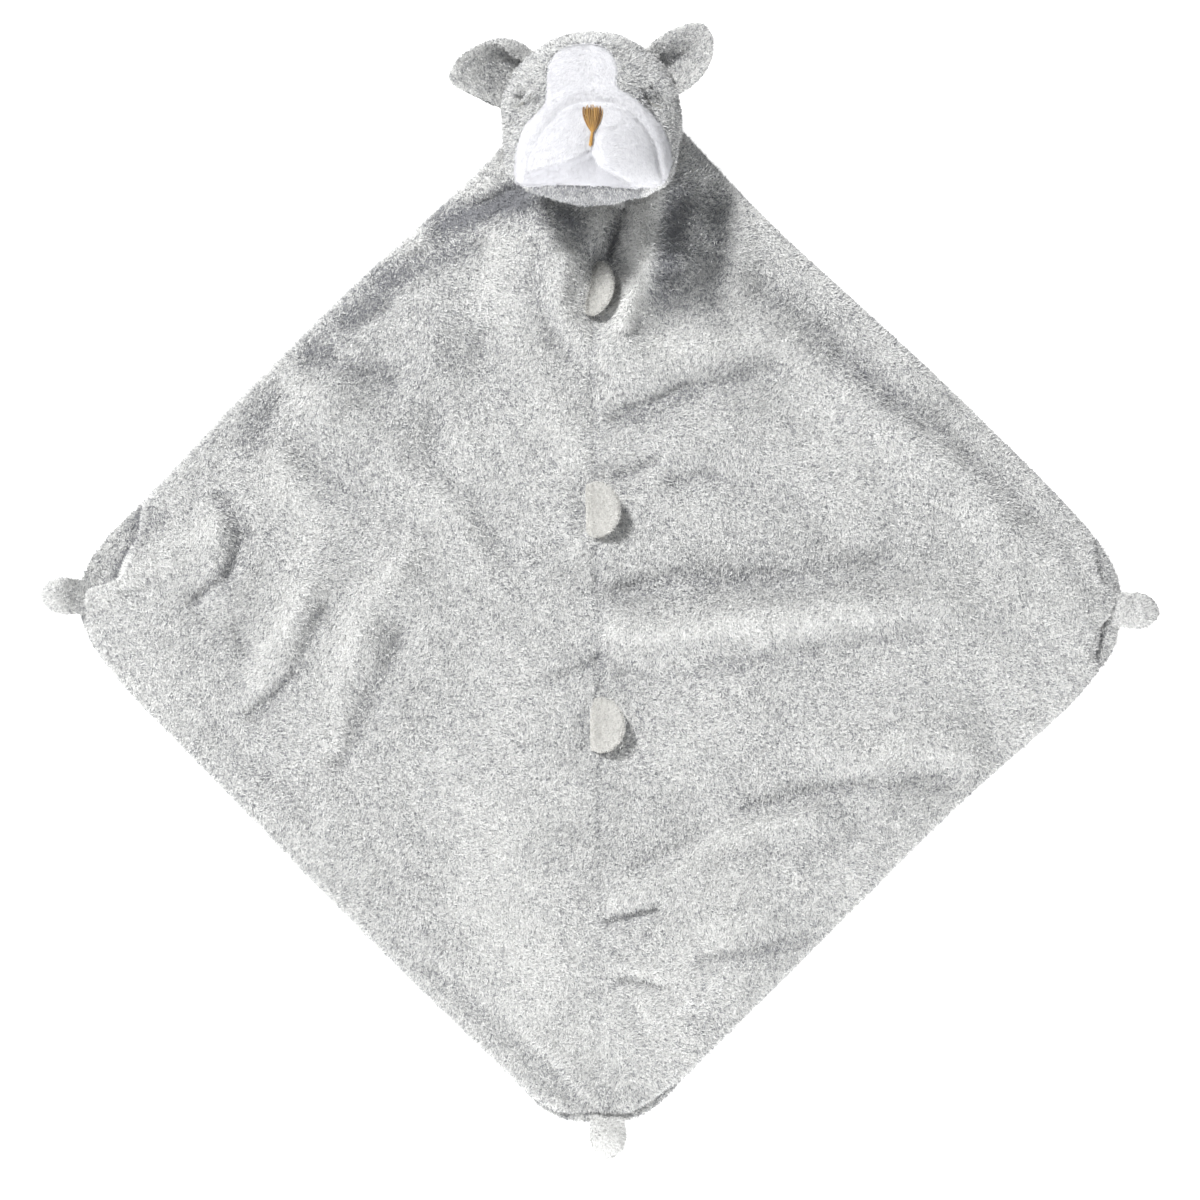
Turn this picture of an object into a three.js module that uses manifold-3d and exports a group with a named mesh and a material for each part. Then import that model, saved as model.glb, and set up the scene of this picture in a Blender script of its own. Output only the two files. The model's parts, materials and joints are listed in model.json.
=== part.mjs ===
// A comfort blanket with a stuffed bulldog head, lying flat with its face up.
// Millimetres, +Z up. The origin is on the resting face, where the blanket's diagonals cross.
// The head is at +Y, and the seam down the middle of the front runs along Y.

import * as THREE from "three";
import { mergeVertices } from "three/addons/utils/BufferGeometryUtils.js";
import Module from "manifold-3d";

const wasm = await Module();
wasm.setup();

// Driving dimensions
const blanketSide = 354; // the square before its corners are tucked into the paws
const fleece = 2.6; // one layer of blanket plush
const seamGap = 0.3; // between two pieces that are sewn together
const overrun = 6; // how far a cutting solid reaches past what it cuts

// Blanket
const cornerTuck = 16.3; // from the square's apex to the blunt end that carries a paw
const cornerSlip = 3.5; // the front layer stops this far short of the back at its corners
const cornerRound = 8;
const endInset = 1.5; // the last row of cloth before the blunt end
const edgeRoll = 3.2; // the turned edge
const edgeThickness = 0.9;
const edgeCalm = 26; // folds die out this far from the edge
const seamDrift = 3.4; // how far the centre seam is pulled to the left in its upper half
const foldHeight = 9; // the tallest fold, at the neck
const foldSpread = 20; // half the width of the widest fold

// Tabs in the centre seam
const tabLength = 24;
const tabReach = 12.5;
const tabThickness = 4.6;
const tabHeel = 1.2; // how far the sewn edge reaches behind the bend line
const tabBendHeight = 3; // from the cloth to the bend line

// Paws at three corners
const pawLength = 15.5;
const pawHalfWidth = 7.6;
const pawHalfHeight = 5.8;
const pawMouthHalfWidth = 6.6;
const pawMouthHalfHeight = 1.5;
const pawFleece = 1.2;
const pawBendReach = 3.8; // from the cloth's end to the bend line
const pawSeat = 0.7; // from the cloth's end to the paw's sewn mouth
const pawSlot = 3; // the pouch's flat mouth is open this far in

// Head, in its own frame: X across the face, Y to the crown, Z out of the face
const headHalfWidth = 38.6;
const headHalfHeight = 36.9;
const headHalfDepth = 28;
const headWall = 2.2;
const headLeft = 3.8; // the head lies this far left of the seam
const headUp = 212.4; // from the blanket's centre to the head's
const muzzleSwell = 10;
const jowlSwell = 3.6;
const jawSwell = 5.5; // the lower corners of the muzzle
const mouthDepth = 3;
const lipDepth = 3.2;
const eyeDepth = 3.4;
const browSwell = 2;
const faceSeamBack = 3; // the seam between face and back of head
const sideBand = 4; // the grey band round the head's side, below the white's lowest edge
const threadThickness = 1.1;
const noseWidth = 8.8;
const noseHeight = 11.3;
const mouthStitchWidth = 1.5;
const mouthStitchLength = 6.6;
const eyeStitchWidth = 1.3;
const eyeStitchLength = 9;
const chinLeft = 27;
const chinRight = 22;
const neckHoleRadius = 8;

// Neck, where the cloth is bunched and sewn to the head
const neckHalfWidth = 15;
const neckBendUp = 184; // from the blanket's centre to the bend line
const neckBendHeight = 6;
const pleatPitch = 6;

// Ears
const earLength = 25;
const earHalfWidth = 13.4;
const earLayer = 1.9;
const earSeamLayer = 0.7; // one layer where it is sewn down
const earCup = 7;
const earSweep = 8.5;
const earSeat = 0.8; // from the head to the ear's sewn edge
const earBendReach = 2; // from the head to the bend line

// How finely each form is divided
const frontColumns = 16;
const frontRows = 50;
const backColumns = 5; // on each side of the seam
const backRows = 18;
const tabSegments = 16;
const tabRings = 10;
const pawSegments = 14;
const headSegments = 32;
const headRings = 20;
const liningSegments = 22;
const liningRings = 13;
const whiteSteps = 44;
const muzzleSteps = 30;
const lipSteps = 24;
const noseSteps = 26;
const mouthSteps = 12;
const eyeSteps = 16;
const earColumns = 8;
const earRows = 8;
const neckSegments = 40;
const neckRings = 14;
const holeSegments = 20;
const clearSteps = 90; // tries round the head for the nearest place to the neck's bend line

// Places that follow the sizes above
const halfDiagonal = blanketSide / Math.SQRT2;
const bluntReach = halfDiagonal - cornerTuck;
const frontLower = fleece + seamGap;
const frontUpper = frontLower + fleece;
const headCentreHeight = frontUpper + seamGap + headHalfDepth;
const neckReach = neckClearRadius();

const pleatDepthShare = 0.14; // of the neck's own radius

// Folds run between two points of the cloth, in shares of the half diagonal.
// Each height is a share of foldHeight and each spread a share of foldSpread.
const foldShares = [
  { from: [0.1, 0.74], to: [0.1, 0.62], height: 0.95, spread: 0.62 },
  { from: [0.1, 0.62], to: [0.03, 0.45], height: 0.75, spread: 0.5 },
  { from: [-0.1, 0.68], to: [-0.12, 0.55], height: 0.6, spread: 0.85 },
  { from: [-0.3, 0.58], to: [-0.3, 0.44], height: 0.4, spread: 0.6 },
  { from: [0.21, 0.66], to: [0.19, 0.52], height: 0.5, spread: 0.55 },
  { from: [0.03, 0.4], to: [0.28, 0.46], height: 0.4, spread: 0.55 },
  { from: [0.04, 0.28], to: [0.3, 0.3], height: 0.3, spread: 0.55 },
  { from: [0.33, 0.5], to: [0.72, 0.14], height: 0.34, spread: 0.7 },
  { from: [0.04, -0.04], to: [0.6, 0], height: 0.5, spread: 0.6 },
  { from: [0.4, -0.26], to: [0.62, -0.24], height: 0.36, spread: 0.6 },
  { from: [0.08, -0.51], to: [0.4, -0.39], height: 0.4, spread: 0.45 },
  { from: [-0.44, 0.42], to: [-0.58, 0.26], height: 0.4, spread: 0.5 },
  { from: [-0.66, 0.16], to: [-0.67, 0.03], height: 0.45, spread: 0.55 },
  { from: [-0.52, 0.06], to: [-0.56, -0.14], height: 0.36, spread: 0.5 },
  { from: [-0.36, 0.06], to: [-0.42, -0.08], height: 0.3, spread: 0.45 },
  { from: [0.028, -0.06], to: [0.268, -0.04], height: 0.33, spread: 0.3 },
  { from: [0.268, -0.04], to: [0.643, 0], height: 0.27, spread: 0.3 },
  { from: [0.072, 0.443], to: [0.34, 0.47], height: 0.22, spread: 0.38 },
  { from: [0.045, -0.465], to: [0.41, -0.385], height: 0.18, spread: 0.3 },
  { from: [0.45, -0.29], to: [0.69, -0.26], height: 0.24, spread: 0.34 },
  { from: [0.24, 0.8], to: [0.3, 0.69], height: 0.22, spread: 0.3 },
  { from: [0.252, 0.73], to: [0.248, 0.515], height: 0.38, spread: 0.3 },
  { from: [-0.084, 0.655], to: [-0.068, 0.483], height: 0.36, spread: 0.38 },
  { from: [-0.88, 0.016], to: [-0.73, 0.072], height: 0.29, spread: 0.3 },
  { from: [-0.73, 0.072], to: [-0.66, 0.168], height: 0.36, spread: 0.3 },
  { from: [-0.42, 0.044], to: [-0.515, -0.18], height: 0.27, spread: 0.34 },
  { from: [0.048, 0.312], to: [0.18, 0.372], height: -0.29, spread: 0.3 },
  { from: [0.18, 0.372], to: [0.34, 0.415], height: -0.22, spread: 0.34 },
  { from: [0.04, -0.16], to: [0.27, -0.116], height: -0.2, spread: 0.3 },
  { from: [-0.26, 0.663], to: [-0.37, 0.58], height: -0.33, spread: 0.34 },
  { from: [-0.59, 0.384], to: [-0.59, 0.264], height: -0.31, spread: 0.3 },
];
// The front layer draws in from the back one beside the paws: from, to and how far
const frontInsetShares = {
  left: [{ from: 0.012, rise: 0.036, fall: 0.1, to: 0.19, inset: 0.056 }],
  right: [
    { from: 0.012, rise: 0.03, fall: 0.06, to: 0.12, inset: 0.022 },
    { from: -0.14, rise: -0.1, fall: -0.045, to: -0.016, inset: 0.036 },
    { from: -0.95, rise: -0.915, fall: -0.89, to: -0.84, inset: 0.014 },
  ],
};
// The sides bow out and in, each by a share of the half diagonal round a place on it
const edgeBowShares = {
  left: [
    { at: 0.76, spread: 0.14, out: -0.021 },
    { at: -0.6, spread: 0.3, out: 0.0125 },
  ],
  right: [
    { at: 0.7, spread: 0.22, out: -0.028 },
    { at: -0.17, spread: 0.13, out: 0.025 },
  ],
};
const seamDriftShares = { at: 0.38, spread: 0.3 };

// The head presses the cloth flat out to a share of its own outline
const headPressShares = { inner: 0.72, fade: 0.5 };

// The white of the face, from the left of the mouth round over the forehead
const whiteOutlineShares = [
  [-0.86, -0.76], [-0.845, -0.42], [-0.73, -0.12], [-0.53, 0.1], [-0.5, 0.34], [-0.48, 0.59],
  [-0.34, 0.78], [-0.13, 0.845], [0.04, 0.845], [0.2, 0.76], [0.29, 0.56], [0.31, 0.29],
  [0.44, 0.21], [0.55, 0.13], [0.72, -0.04], [0.835, -0.215], [0.9, -0.41], [0.9, -0.62],
  [0.78, -0.83], [0.44, -0.88], [0.1, -0.87], [-0.47, -0.85], [-0.72, -0.85],
];
// The muzzle's own seam inside the white, closed well below it
const muzzleOutlineShares = [
  [-0.74, -1.2], [-0.72, -0.6], [-0.64, -0.38], [-0.49, -0.155], [-0.3, 0.04], [-0.13, 0.11],
  [0.1, 0.12], [0.32, 0.08], [0.51, -0.05], [0.66, -0.26], [0.74, -0.48], [0.78, -1.2],
];
// The lower lip, under the two jowls, closed well below the white
const lipOutlineShares = [
  [-0.8, -1.2], [-0.76, -0.71], [-0.35, -0.6], [-0.18, -0.53], [-0.02, -0.45], [0.04, -0.57],
  [0.13, -0.68], [0.28, -0.79], [0.46, -0.9], [0.46, -1.2],
];
// The nose: flat on top, drawn to a point below, in shares of its own size
const noseOutlineShares = [
  [-0.5, 0.84], [-0.42, 0.97], [0, 1], [0.42, 0.97], [0.5, 0.84], [0.47, 0.56], [0.31, 0.26],
  [0.1, 0], [-0.1, 0], [-0.31, 0.26], [-0.47, 0.56],
];
const noseFootShare = [0.017, -0.25];
const mouthStitchTiltShare = 0.12;
const eyeShares = [
  [-0.78, 0.16],
  [0.7, 0.14],
];
const eyeLeanShares = [-0.5, 0.5];
const eyeOutlineShares = [
  [-0.5, -0.5], [0, -0.7], [0.5, -0.5], [0.5, 0.5], [0, 0.3], [-0.5, 0.5],
];
const facePrismShare = 3; // how far the face is cut through, in head depths

// Where the head swells and dips, and how widely, in shares of its half width and height
const eyeHollowShares = eyeShares.map((at) => ({ at, spread: [0.12, 0.14] }));
const browShares = [
  { at: [-0.68, 0.34], spread: [0.18, 0.16] },
  { at: [0.76, 0.36], spread: [0.18, 0.16] },
];
const jawShares = [
  { at: [-0.7, -0.62], spread: [0.3, 0.3] },
  { at: [0.72, -0.66], spread: [0.3, 0.3] },
];
const jowlShares = [
  { at: [-0.32, -0.3], spread: [0.27, 0.26] },
  { at: [0.38, -0.42], spread: [0.27, 0.32] },
];
const muzzleShares = [{ at: [0.02, -0.42], spread: [0.7, 0.46] }];
const mouthShares = [{ at: [0.01, -0.4], spread: [0.07, 0.2] }];
const lipShares = [{ at: [-0.14, -0.76], spread: [0.45, 0.14] }];
const faceOnsetShare = 0.4; // the face has its full swell where it turns this far forward
const jawOnsetShares = { start: -0.25, reach: 0.5 };

const tabs = [
  { name: "tab_top", seamShare: 0.555, lean: 52, turn: -13 },
  { name: "tab_middle", seamShare: 0.161, lean: 32, turn: 1 },
  { name: "tab_bottom", seamShare: -0.223, lean: 32, turn: 0 },
];

// Each paw sits a share of its half width beside the corner's middle
const paws = [
  { name: "left", angle: 90, turn: -3, asideShare: -0.22 },
  { name: "right", angle: -90, turn: -5, asideShare: -0.6 },
  { name: "bottom", angle: 180, turn: 2, asideShare: 0.45 },
];
const pawRingShares = [0, 0.14, 0.3, 0.48, 0.66, 0.82, 0.94];
const pawLiftShare = 0.5; // the pouch has risen to its full height this far along
const pawBulgeShare = 0.625;
const pawFillShare = 0.3; // the filling begins this far along the paw

// The left ear lies open and the right one is cupped, which narrows it
const ears = [
  { name: "left", angle: 153, sweepShare: -1, cupShare: 0.75, widthShare: 1 },
  { name: "right", angle: 33.5, sweepShare: -0.4, cupShare: 1.1, widthShare: 0.88 },
];
const earRootShare = 0.88; // its width where it is sewn on
const earWidenShare = 1 / 3;
const earTipShare = 0.99;
const earCupStartShare = 0.4;
const earCupLevelShare = 0.3; // the cup's sides rise above its bend line and its middle sinks below

// Materials
const greyFleece = material(0xb4b5b5, 0.95);
const whiteFleece = material(0xf2f1f4, 0.93);
const paleFleece = material(0xdddcd8, 0.95);
const brownThread = material(0xa8742f, 0.5);
const greyThread = material(0x9d9d9a, 0.6);
const fibreFilling = material(0xf4f2ec, 1);

function material(color, roughness) {
  return new THREE.MeshStandardMaterial({ color, roughness, metalness: 0 });
}

function smoothStep(t) {
  const clamped = Math.min(Math.max(t, 0), 1);
  return clamped * clamped * (3 - 2 * clamped);
}

function radians(degrees) {
  return (degrees * Math.PI) / 180;
}

function piece(name, geometry, finish) {
  const mesh = new THREE.Mesh(geometry, finish);
  mesh.name = name;
  return mesh;
}

// A closed three.js geometry as a solid for cutting and joining
function solidOf(geometry) {
  const bare = geometry.index ? geometry.toNonIndexed() : geometry.clone();
  bare.deleteAttribute("normal");
  bare.deleteAttribute("uv");
  const merged = mergeVertices(bare);
  return new wasm.Manifold(
    new wasm.Mesh({
      numProp: 3,
      vertProperties: new Float32Array(merged.attributes.position.array),
      triVerts: new Uint32Array(merged.index.array),
    }),
  );
}

function geometryOf(solid) {
  const mesh = solid.getMesh();
  const geometry = new THREE.BufferGeometry();
  geometry.setAttribute("position", new THREE.BufferAttribute(mesh.vertProperties, 3));
  geometry.setIndex(new THREE.BufferAttribute(mesh.triVerts, 1));
  geometry.computeVertexNormals();
  return geometry;
}

function geometryFrom(points, faces) {
  const geometry = new THREE.BufferGeometry();
  geometry.setAttribute("position", new THREE.Float32BufferAttribute(points.flat(), 3));
  geometry.setIndex(faces);
  geometry.computeVertexNormals();
  return geometry;
}

// A sheet with an upper and a lower surface over one grid, closed round its rim.
// upper and lower give a point for a column and a row; columns run along X and rows along Y.
function sheetGeometry(columns, rows, upper, lower) {
  const points = [];
  for (const surface of [upper, lower])
    for (let row = 0; row <= rows; row++)
      for (let column = 0; column <= columns; column++) points.push(surface(column, row));
  const layer = (columns + 1) * (rows + 1);
  const at = (column, row) => row * (columns + 1) + column;
  const faces = [];
  for (let row = 0; row < rows; row++)
    for (let column = 0; column < columns; column++) {
      const a = at(column, row);
      const b = at(column + 1, row);
      const c = at(column + 1, row + 1);
      const d = at(column, row + 1);
      faces.push(a, b, c, a, c, d);
      faces.push(a + layer, c + layer, b + layer, a + layer, d + layer, c + layer);
    }
  const rim = [];
  for (let column = 0; column < columns; column++) rim.push(at(column, 0));
  for (let row = 0; row < rows; row++) rim.push(at(columns, row));
  for (let column = columns; column > 0; column--) rim.push(at(column, rows));
  for (let row = rows; row > 0; row--) rim.push(at(0, row));
  rim.forEach((p, k) => {
    const q = rim[(k + 1) % rim.length];
    faces.push(p + layer, q + layer, q, p + layer, q, p);
  });
  return geometryFrom(points, faces);
}

// A solid lofted through rings of points, closed by a point at each end.
function loftGeometry(rings, startPoint, endPoint) {
  const count = rings[0].length;
  const points = [...rings.flat(), startPoint, endPoint];
  const start = points.length - 2;
  const end = points.length - 1;
  const faces = [];
  for (let k = 0; k < count; k++) {
    const next = (k + 1) % count;
    faces.push(start, next, k);
    for (let ring = 0; ring + 1 < rings.length; ring++) {
      const a = ring * count + k;
      const b = ring * count + next;
      faces.push(a, b, b + count, a, b + count, a + count);
    }
    const last = (rings.length - 1) * count;
    faces.push(last + k, last + next, end);
  }
  return geometryFrom(points, faces);
}

function boxSolid(low, high) {
  const size = high.map((value, k) => value - low[k]);
  const box = new THREE.BoxGeometry(...size);
  box.translate(...low.map((value, k) => value + size[k] / 2));
  return solidOf(box);
}

// Blanket

// Half a layer's width at a height along the seam. Its sides bow a little and its corners,
// which end at reach, are softly blunt.
function halfWidthAt(y, reach, side) {
  const up = Math.abs(y);
  let bow = 0;
  for (const { at, spread, out } of side < 0 ? edgeBowShares.left : edgeBowShares.right)
    bow += out * halfDiagonal * Math.exp(-(((y / halfDiagonal - at) / spread) ** 2));
  const close = cornerRound * Math.log(1 - Math.exp((up - reach) / cornerRound));
  const straight = halfDiagonal + bow - up + close;
  const blunt = Math.exp(-reach / cornerRound) + Math.exp(-straight / cornerRound);
  return -cornerRound * Math.log(blunt);
}

function seamAt(y) {
  const { at, spread } = seamDriftShares;
  return -seamDrift * Math.exp(-(((y / halfDiagonal - at) / spread) ** 2));
}

// How far the front layer draws in from the back one at a height along the seam.
function frontInsetAt(y, side) {
  let inset = 0;
  for (const place of side < 0 ? frontInsetShares.left : frontInsetShares.right) {
    const [from, rise, fall, to] = [place.from, place.rise, place.fall, place.to];
    const share = y / halfDiagonal;
    const on = smoothStep((share - from) / (rise - from));
    inset += place.inset * halfDiagonal * on * (1 - smoothStep((share - fall) / (to - fall)));
  }
  return inset;
}

// How far a point of the cloth is inside its edge, measured across the slanting side.
function edgeDistance(x, y) {
  return (halfDiagonal - Math.abs(x) - Math.abs(y)) / Math.SQRT2;
}

function foldAt(x, y) {
  let height = 0;
  for (const fold of foldShares) {
    const [ax, ay] = fold.from.map((share) => share * halfDiagonal);
    const [bx, by] = fold.to.map((share) => share * halfDiagonal);
    const [dx, dy] = [bx - ax, by - ay];
    const along = ((x - ax) * dx + (y - ay) * dy) / (dx * dx + dy * dy);
    const nearest = Math.min(Math.max(along, 0), 1);
    const away = Math.hypot(x - ax - nearest * dx, y - ay - nearest * dy);
    const spread = fold.spread * foldSpread;
    height += fold.height * foldHeight * Math.exp(-((away / spread) ** 2));
  }
  const fromHead = Math.hypot((x + headLeft) / headHalfWidth, (y - headUp) / headHalfHeight);
  const beside = smoothStep((fromHead - headPressShares.inner) / headPressShares.fade);
  return Math.max(height, 0) * beside * smoothStep(edgeDistance(x, y) / edgeCalm);
}

function clothTop(x, y) {
  return frontUpper + foldAt(x, y);
}

// Rows along the seam, closer together at the corners than between them.
function rowPlace(row, rows, reach) {
  const share = (2 * row) / rows - 1;
  const even = Math.abs(share);
  const eased = (1 - Math.cos(Math.PI * even)) / 2;
  return Math.sign(share) * ((even + eased) / 2) * (reach - endInset);
}

// A place on one half of a layer, from a line beside the seam to its edge, which is rolled.
function layerPlace(side, column, row, columns, rows, inner, reach, insetAt) {
  const y = rowPlace(row, rows, reach);
  const width = halfWidthAt(y, reach, side) - insetAt(y, side);
  const start = inner + side * seamAt(y);
  const flat = width - Math.min(edgeRoll, width / 2);
  const x = column === columns ? width : start + ((flat - start) * column) / (columns - 1);
  const atEdge = column === columns || row === 0 || row === rows;
  return { x: side * x, y, atEdge };
}

// One front half, with heights for its upper and lower surface from a place on it.
function frontHalf(side, inner, upperHeight, lowerHeight) {
  const columns = frontColumns;
  const rows = frontRows;
  const reach = bluntReach - cornerSlip;
  const surface = (height) => (column, row) => {
    const steps = side > 0 ? column : columns - column;
    const { x, y, atEdge } = layerPlace(side, steps, row, columns, rows, inner, reach, frontInsetAt);
    return [x, y, height(x, y, atEdge)];
  };
  return sheetGeometry(columns, rows, surface(upperHeight), surface(lowerHeight));
}

function frontPanelGeometry(side) {
  const upper = (x, y, atEdge) => (atEdge ? frontLower + edgeThickness : clothTop(x, y));
  const lower = (x, y, atEdge) => (atEdge ? frontLower : clothTop(x, y) - fleece);
  return frontHalf(side, seamGap / 2, upper, lower);
}

// All that the front layer and a sewing gap above it fill, for cutting what stands on it.
function clothClearance() {
  const upper = (x, y) => clothTop(x, y) + seamGap;
  const lower = () => -overrun;
  const halves = [-1, 1].map((side) => solidOf(frontHalf(side, -seamGap / 2, upper, lower)));
  return halves[0].add(halves[1]);
}

function backPanelGeometry() {
  const half = backColumns;
  const rows = backRows;
  const surface = (height) => (column, row) => {
    const side = column < half ? -1 : 1;
    const steps = Math.abs(column - half);
    const { x, y, atEdge } = layerPlace(side, steps, row, half, rows, 0, bluntReach, () => 0);
    return [x, y, height(atEdge)];
  };
  const upper = () => fleece;
  const lower = (atEdge) => (atEdge ? fleece - edgeThickness : 0);
  return sheetGeometry(2 * half, rows, surface(upper), surface(lower));
}

// Tabs: half-moon pads whose straight edge is sewn into the centre seam

function tabGeometry() {
  const pillow = new THREE.SphereGeometry(1, tabSegments, tabRings);
  pillow.rotateX(Math.PI / 2);
  pillow.scale(tabReach, tabLength / 2, tabThickness / 2);
  const keep = boxSolid([-tabHeel, -tabLength, -tabLength], [2 * tabLength, tabLength, tabLength]);
  return geometryOf(solidOf(pillow).intersect(keep));
}

// The bend line runs along the group's own Y.
function tabGroup(tab) {
  const group = new THREE.Group();
  const y = tab.seamShare * halfDiagonal;
  const reach = tabLength / 2;
  const places = [y - reach / 2, y, y + reach / 2];
  const highest = Math.max(...places.map((place) => clothTop(seamAt(place), place)));
  group.name = tab.name + "_bend";
  group.position.set(seamAt(y), y, highest + tabBendHeight);
  group.rotation.set(0, -radians(tab.lean), radians(tab.turn), "ZYX");
  group.add(piece(tab.name, tabGeometry(), paleFleece));
  return group;
}

// Paws: stuffed knobs whose flat mouth is sewn to a blunt corner of the blanket

// Rings to the tip from a share of the length. inset shrinks the pouch to its lining or filling.
function pawGeometry(inset, startShare) {
  const rings = [];
  const seat = fleece + seamGap / 2;
  const length = pawLength - inset;
  const lifted = pawHalfHeight + seamGap;
  const centreAt = (share) => seat + (lifted - seat) * smoothStep(share / pawLiftShare);
  for (const share of pawRingShares.filter((value) => value >= startShare)) {
    const round = Math.sqrt(1 - share ** 3);
    const bulge = smoothStep(share / pawBulgeShare);
    const wide = (pawMouthHalfWidth + (pawHalfWidth - pawMouthHalfWidth) * bulge) * round - inset;
    const high = (pawMouthHalfHeight + (pawHalfHeight - pawMouthHalfHeight) * bulge) * round - inset;
    const ring = [];
    for (let k = 0; k < pawSegments; k++) {
      const angle = (-2 * Math.PI * k) / pawSegments;
      ring.push([
        wide * Math.cos(angle),
        share * length - pawBendReach + pawSeat,
        centreAt(share) + high * Math.sin(angle) - seat,
      ]);
    }
    rings.push(ring);
  }
  const middle = (y, share) => [0, y, centreAt(share) - seat];
  const start = middle(rings[0][0][1], startShare);
  const tip = middle(length - pawBendReach + pawSeat, 1);
  return loftGeometry(rings, start, tip);
}

function pawCoverGeometry() {
  const outer = solidOf(pawGeometry(0, 0));
  const lining = solidOf(pawGeometry(pawFleece, 0));
  const slot = boxSolid(
    [-pawMouthHalfWidth + 2 * pawFleece, -pawBendReach - overrun, -pawMouthHalfHeight + pawFleece],
    [pawMouthHalfWidth - 2 * pawFleece, pawSlot - pawBendReach, pawMouthHalfHeight - pawFleece],
  );
  return geometryOf(outer.subtract(lining).subtract(slot));
}

// The bend line runs along the group's own X, and the paw along its Y.
function pawGroup(paw) {
  const group = new THREE.Group();
  const corner = radians(paw.angle);
  const reach = bluntReach - endInset + pawBendReach;
  const aside = paw.asideShare * pawHalfWidth;
  group.name = "paw_" + paw.name + "_bend";
  group.position.set(
    -Math.sin(corner) * reach - Math.cos(corner) * aside,
    Math.cos(corner) * reach - Math.sin(corner) * aside,
    fleece + seamGap / 2,
  );
  group.rotation.z = corner + radians(paw.turn);
  group.add(piece("paw_" + paw.name, pawCoverGeometry(), greyFleece));
  const filling = pawGeometry(pawFleece + seamGap, pawFillShare);
  group.add(piece("paw_" + paw.name + "_filling", filling, fibreFilling));
  return group;
}

// Head: one stuffed form, with its fleece cut into the panels that are sewn round it

function bumps(x, y, places) {
  let sum = 0;
  for (const { at, spread } of places)
    sum += Math.exp(-(((x - at[0]) / spread[0]) ** 2) - ((y - at[1]) / spread[1]) ** 2);
  return sum;
}

// The head's surface along a direction from its centre, moved out by an offset.
function headPoint(direction, offset) {
  const scaled = Math.hypot(
    direction.x / headHalfWidth,
    direction.y / headHalfHeight,
    direction.z / headHalfDepth,
  );
  const radius = 1 / scaled;
  const x = (direction.x * radius) / headHalfWidth;
  const y = (direction.y * radius) / headHalfHeight;
  const facing = smoothStep(direction.z / faceOnsetShare);
  const fromSide = smoothStep((direction.z - jawOnsetShares.start) / jawOnsetShares.reach);
  const swell =
    muzzleSwell * bumps(x, y, muzzleShares) +
    jowlSwell * bumps(x, y, jowlShares) -
    mouthDepth * bumps(x, y, mouthShares) -
    lipDepth * bumps(x, y, lipShares) +
    browSwell * bumps(x, y, browShares) -
    eyeDepth * bumps(x, y, eyeHollowShares);
  const outwards = facing * swell + fromSide * jawSwell * bumps(x, y, jawShares);
  return direction.clone().multiplyScalar(radius + outwards + offset);
}

function headSolid(offset, segments, rings) {
  const ball = new THREE.SphereGeometry(1, segments, rings);
  ball.rotateX(Math.PI / 2);
  const place = ball.attributes.position;
  const direction = new THREE.Vector3();
  for (let k = 0; k < place.count; k++) {
    direction.fromBufferAttribute(place, k).normalize();
    const point = headPoint(direction, offset);
    place.setXYZ(k, point.x, point.y, point.z);
  }
  return solidOf(ball);
}

// A smooth closed outline through points, moved outwards by grow.
function outlinePoints(points, steps, grow) {
  const corners = points.map(([x, y]) => new THREE.Vector3(x, y, 0));
  const curve = new THREE.CatmullRomCurve3(corners, true, "centripetal");
  const along = [];
  for (let k = 0; k < steps; k++) along.push(curve.getPointAt(k / steps));
  const clockwise = THREE.ShapeUtils.isClockWise(along);
  return along.map((point, k) => {
    const before = along[(k + steps - 1) % steps];
    const after = along[(k + 1) % steps];
    const out = new THREE.Vector2(after.y - before.y, before.x - after.x).normalize();
    const way = clockwise ? -grow : grow;
    return new THREE.Vector2(point.x + way * out.x, point.y + way * out.y);
  });
}

// A straight-sided solid through the face, along Z, with the outline's shape. It starts above
// the band, so that the grey stays whole round the side of the head.
function facePrism(points, steps, grow) {
  const depth = facePrismShare * headHalfDepth;
  const shape = new THREE.Shape(outlinePoints(points, steps, grow));
  const prism = new THREE.ExtrudeGeometry(shape, { depth, bevelEnabled: false, steps: 1 });
  prism.translate(0, 0, sideBand - grow);
  return solidOf(prism);
}

function onFace(shares) {
  return shares.map(([x, y]) => [x * headHalfWidth, y * headHalfHeight]);
}

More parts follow.
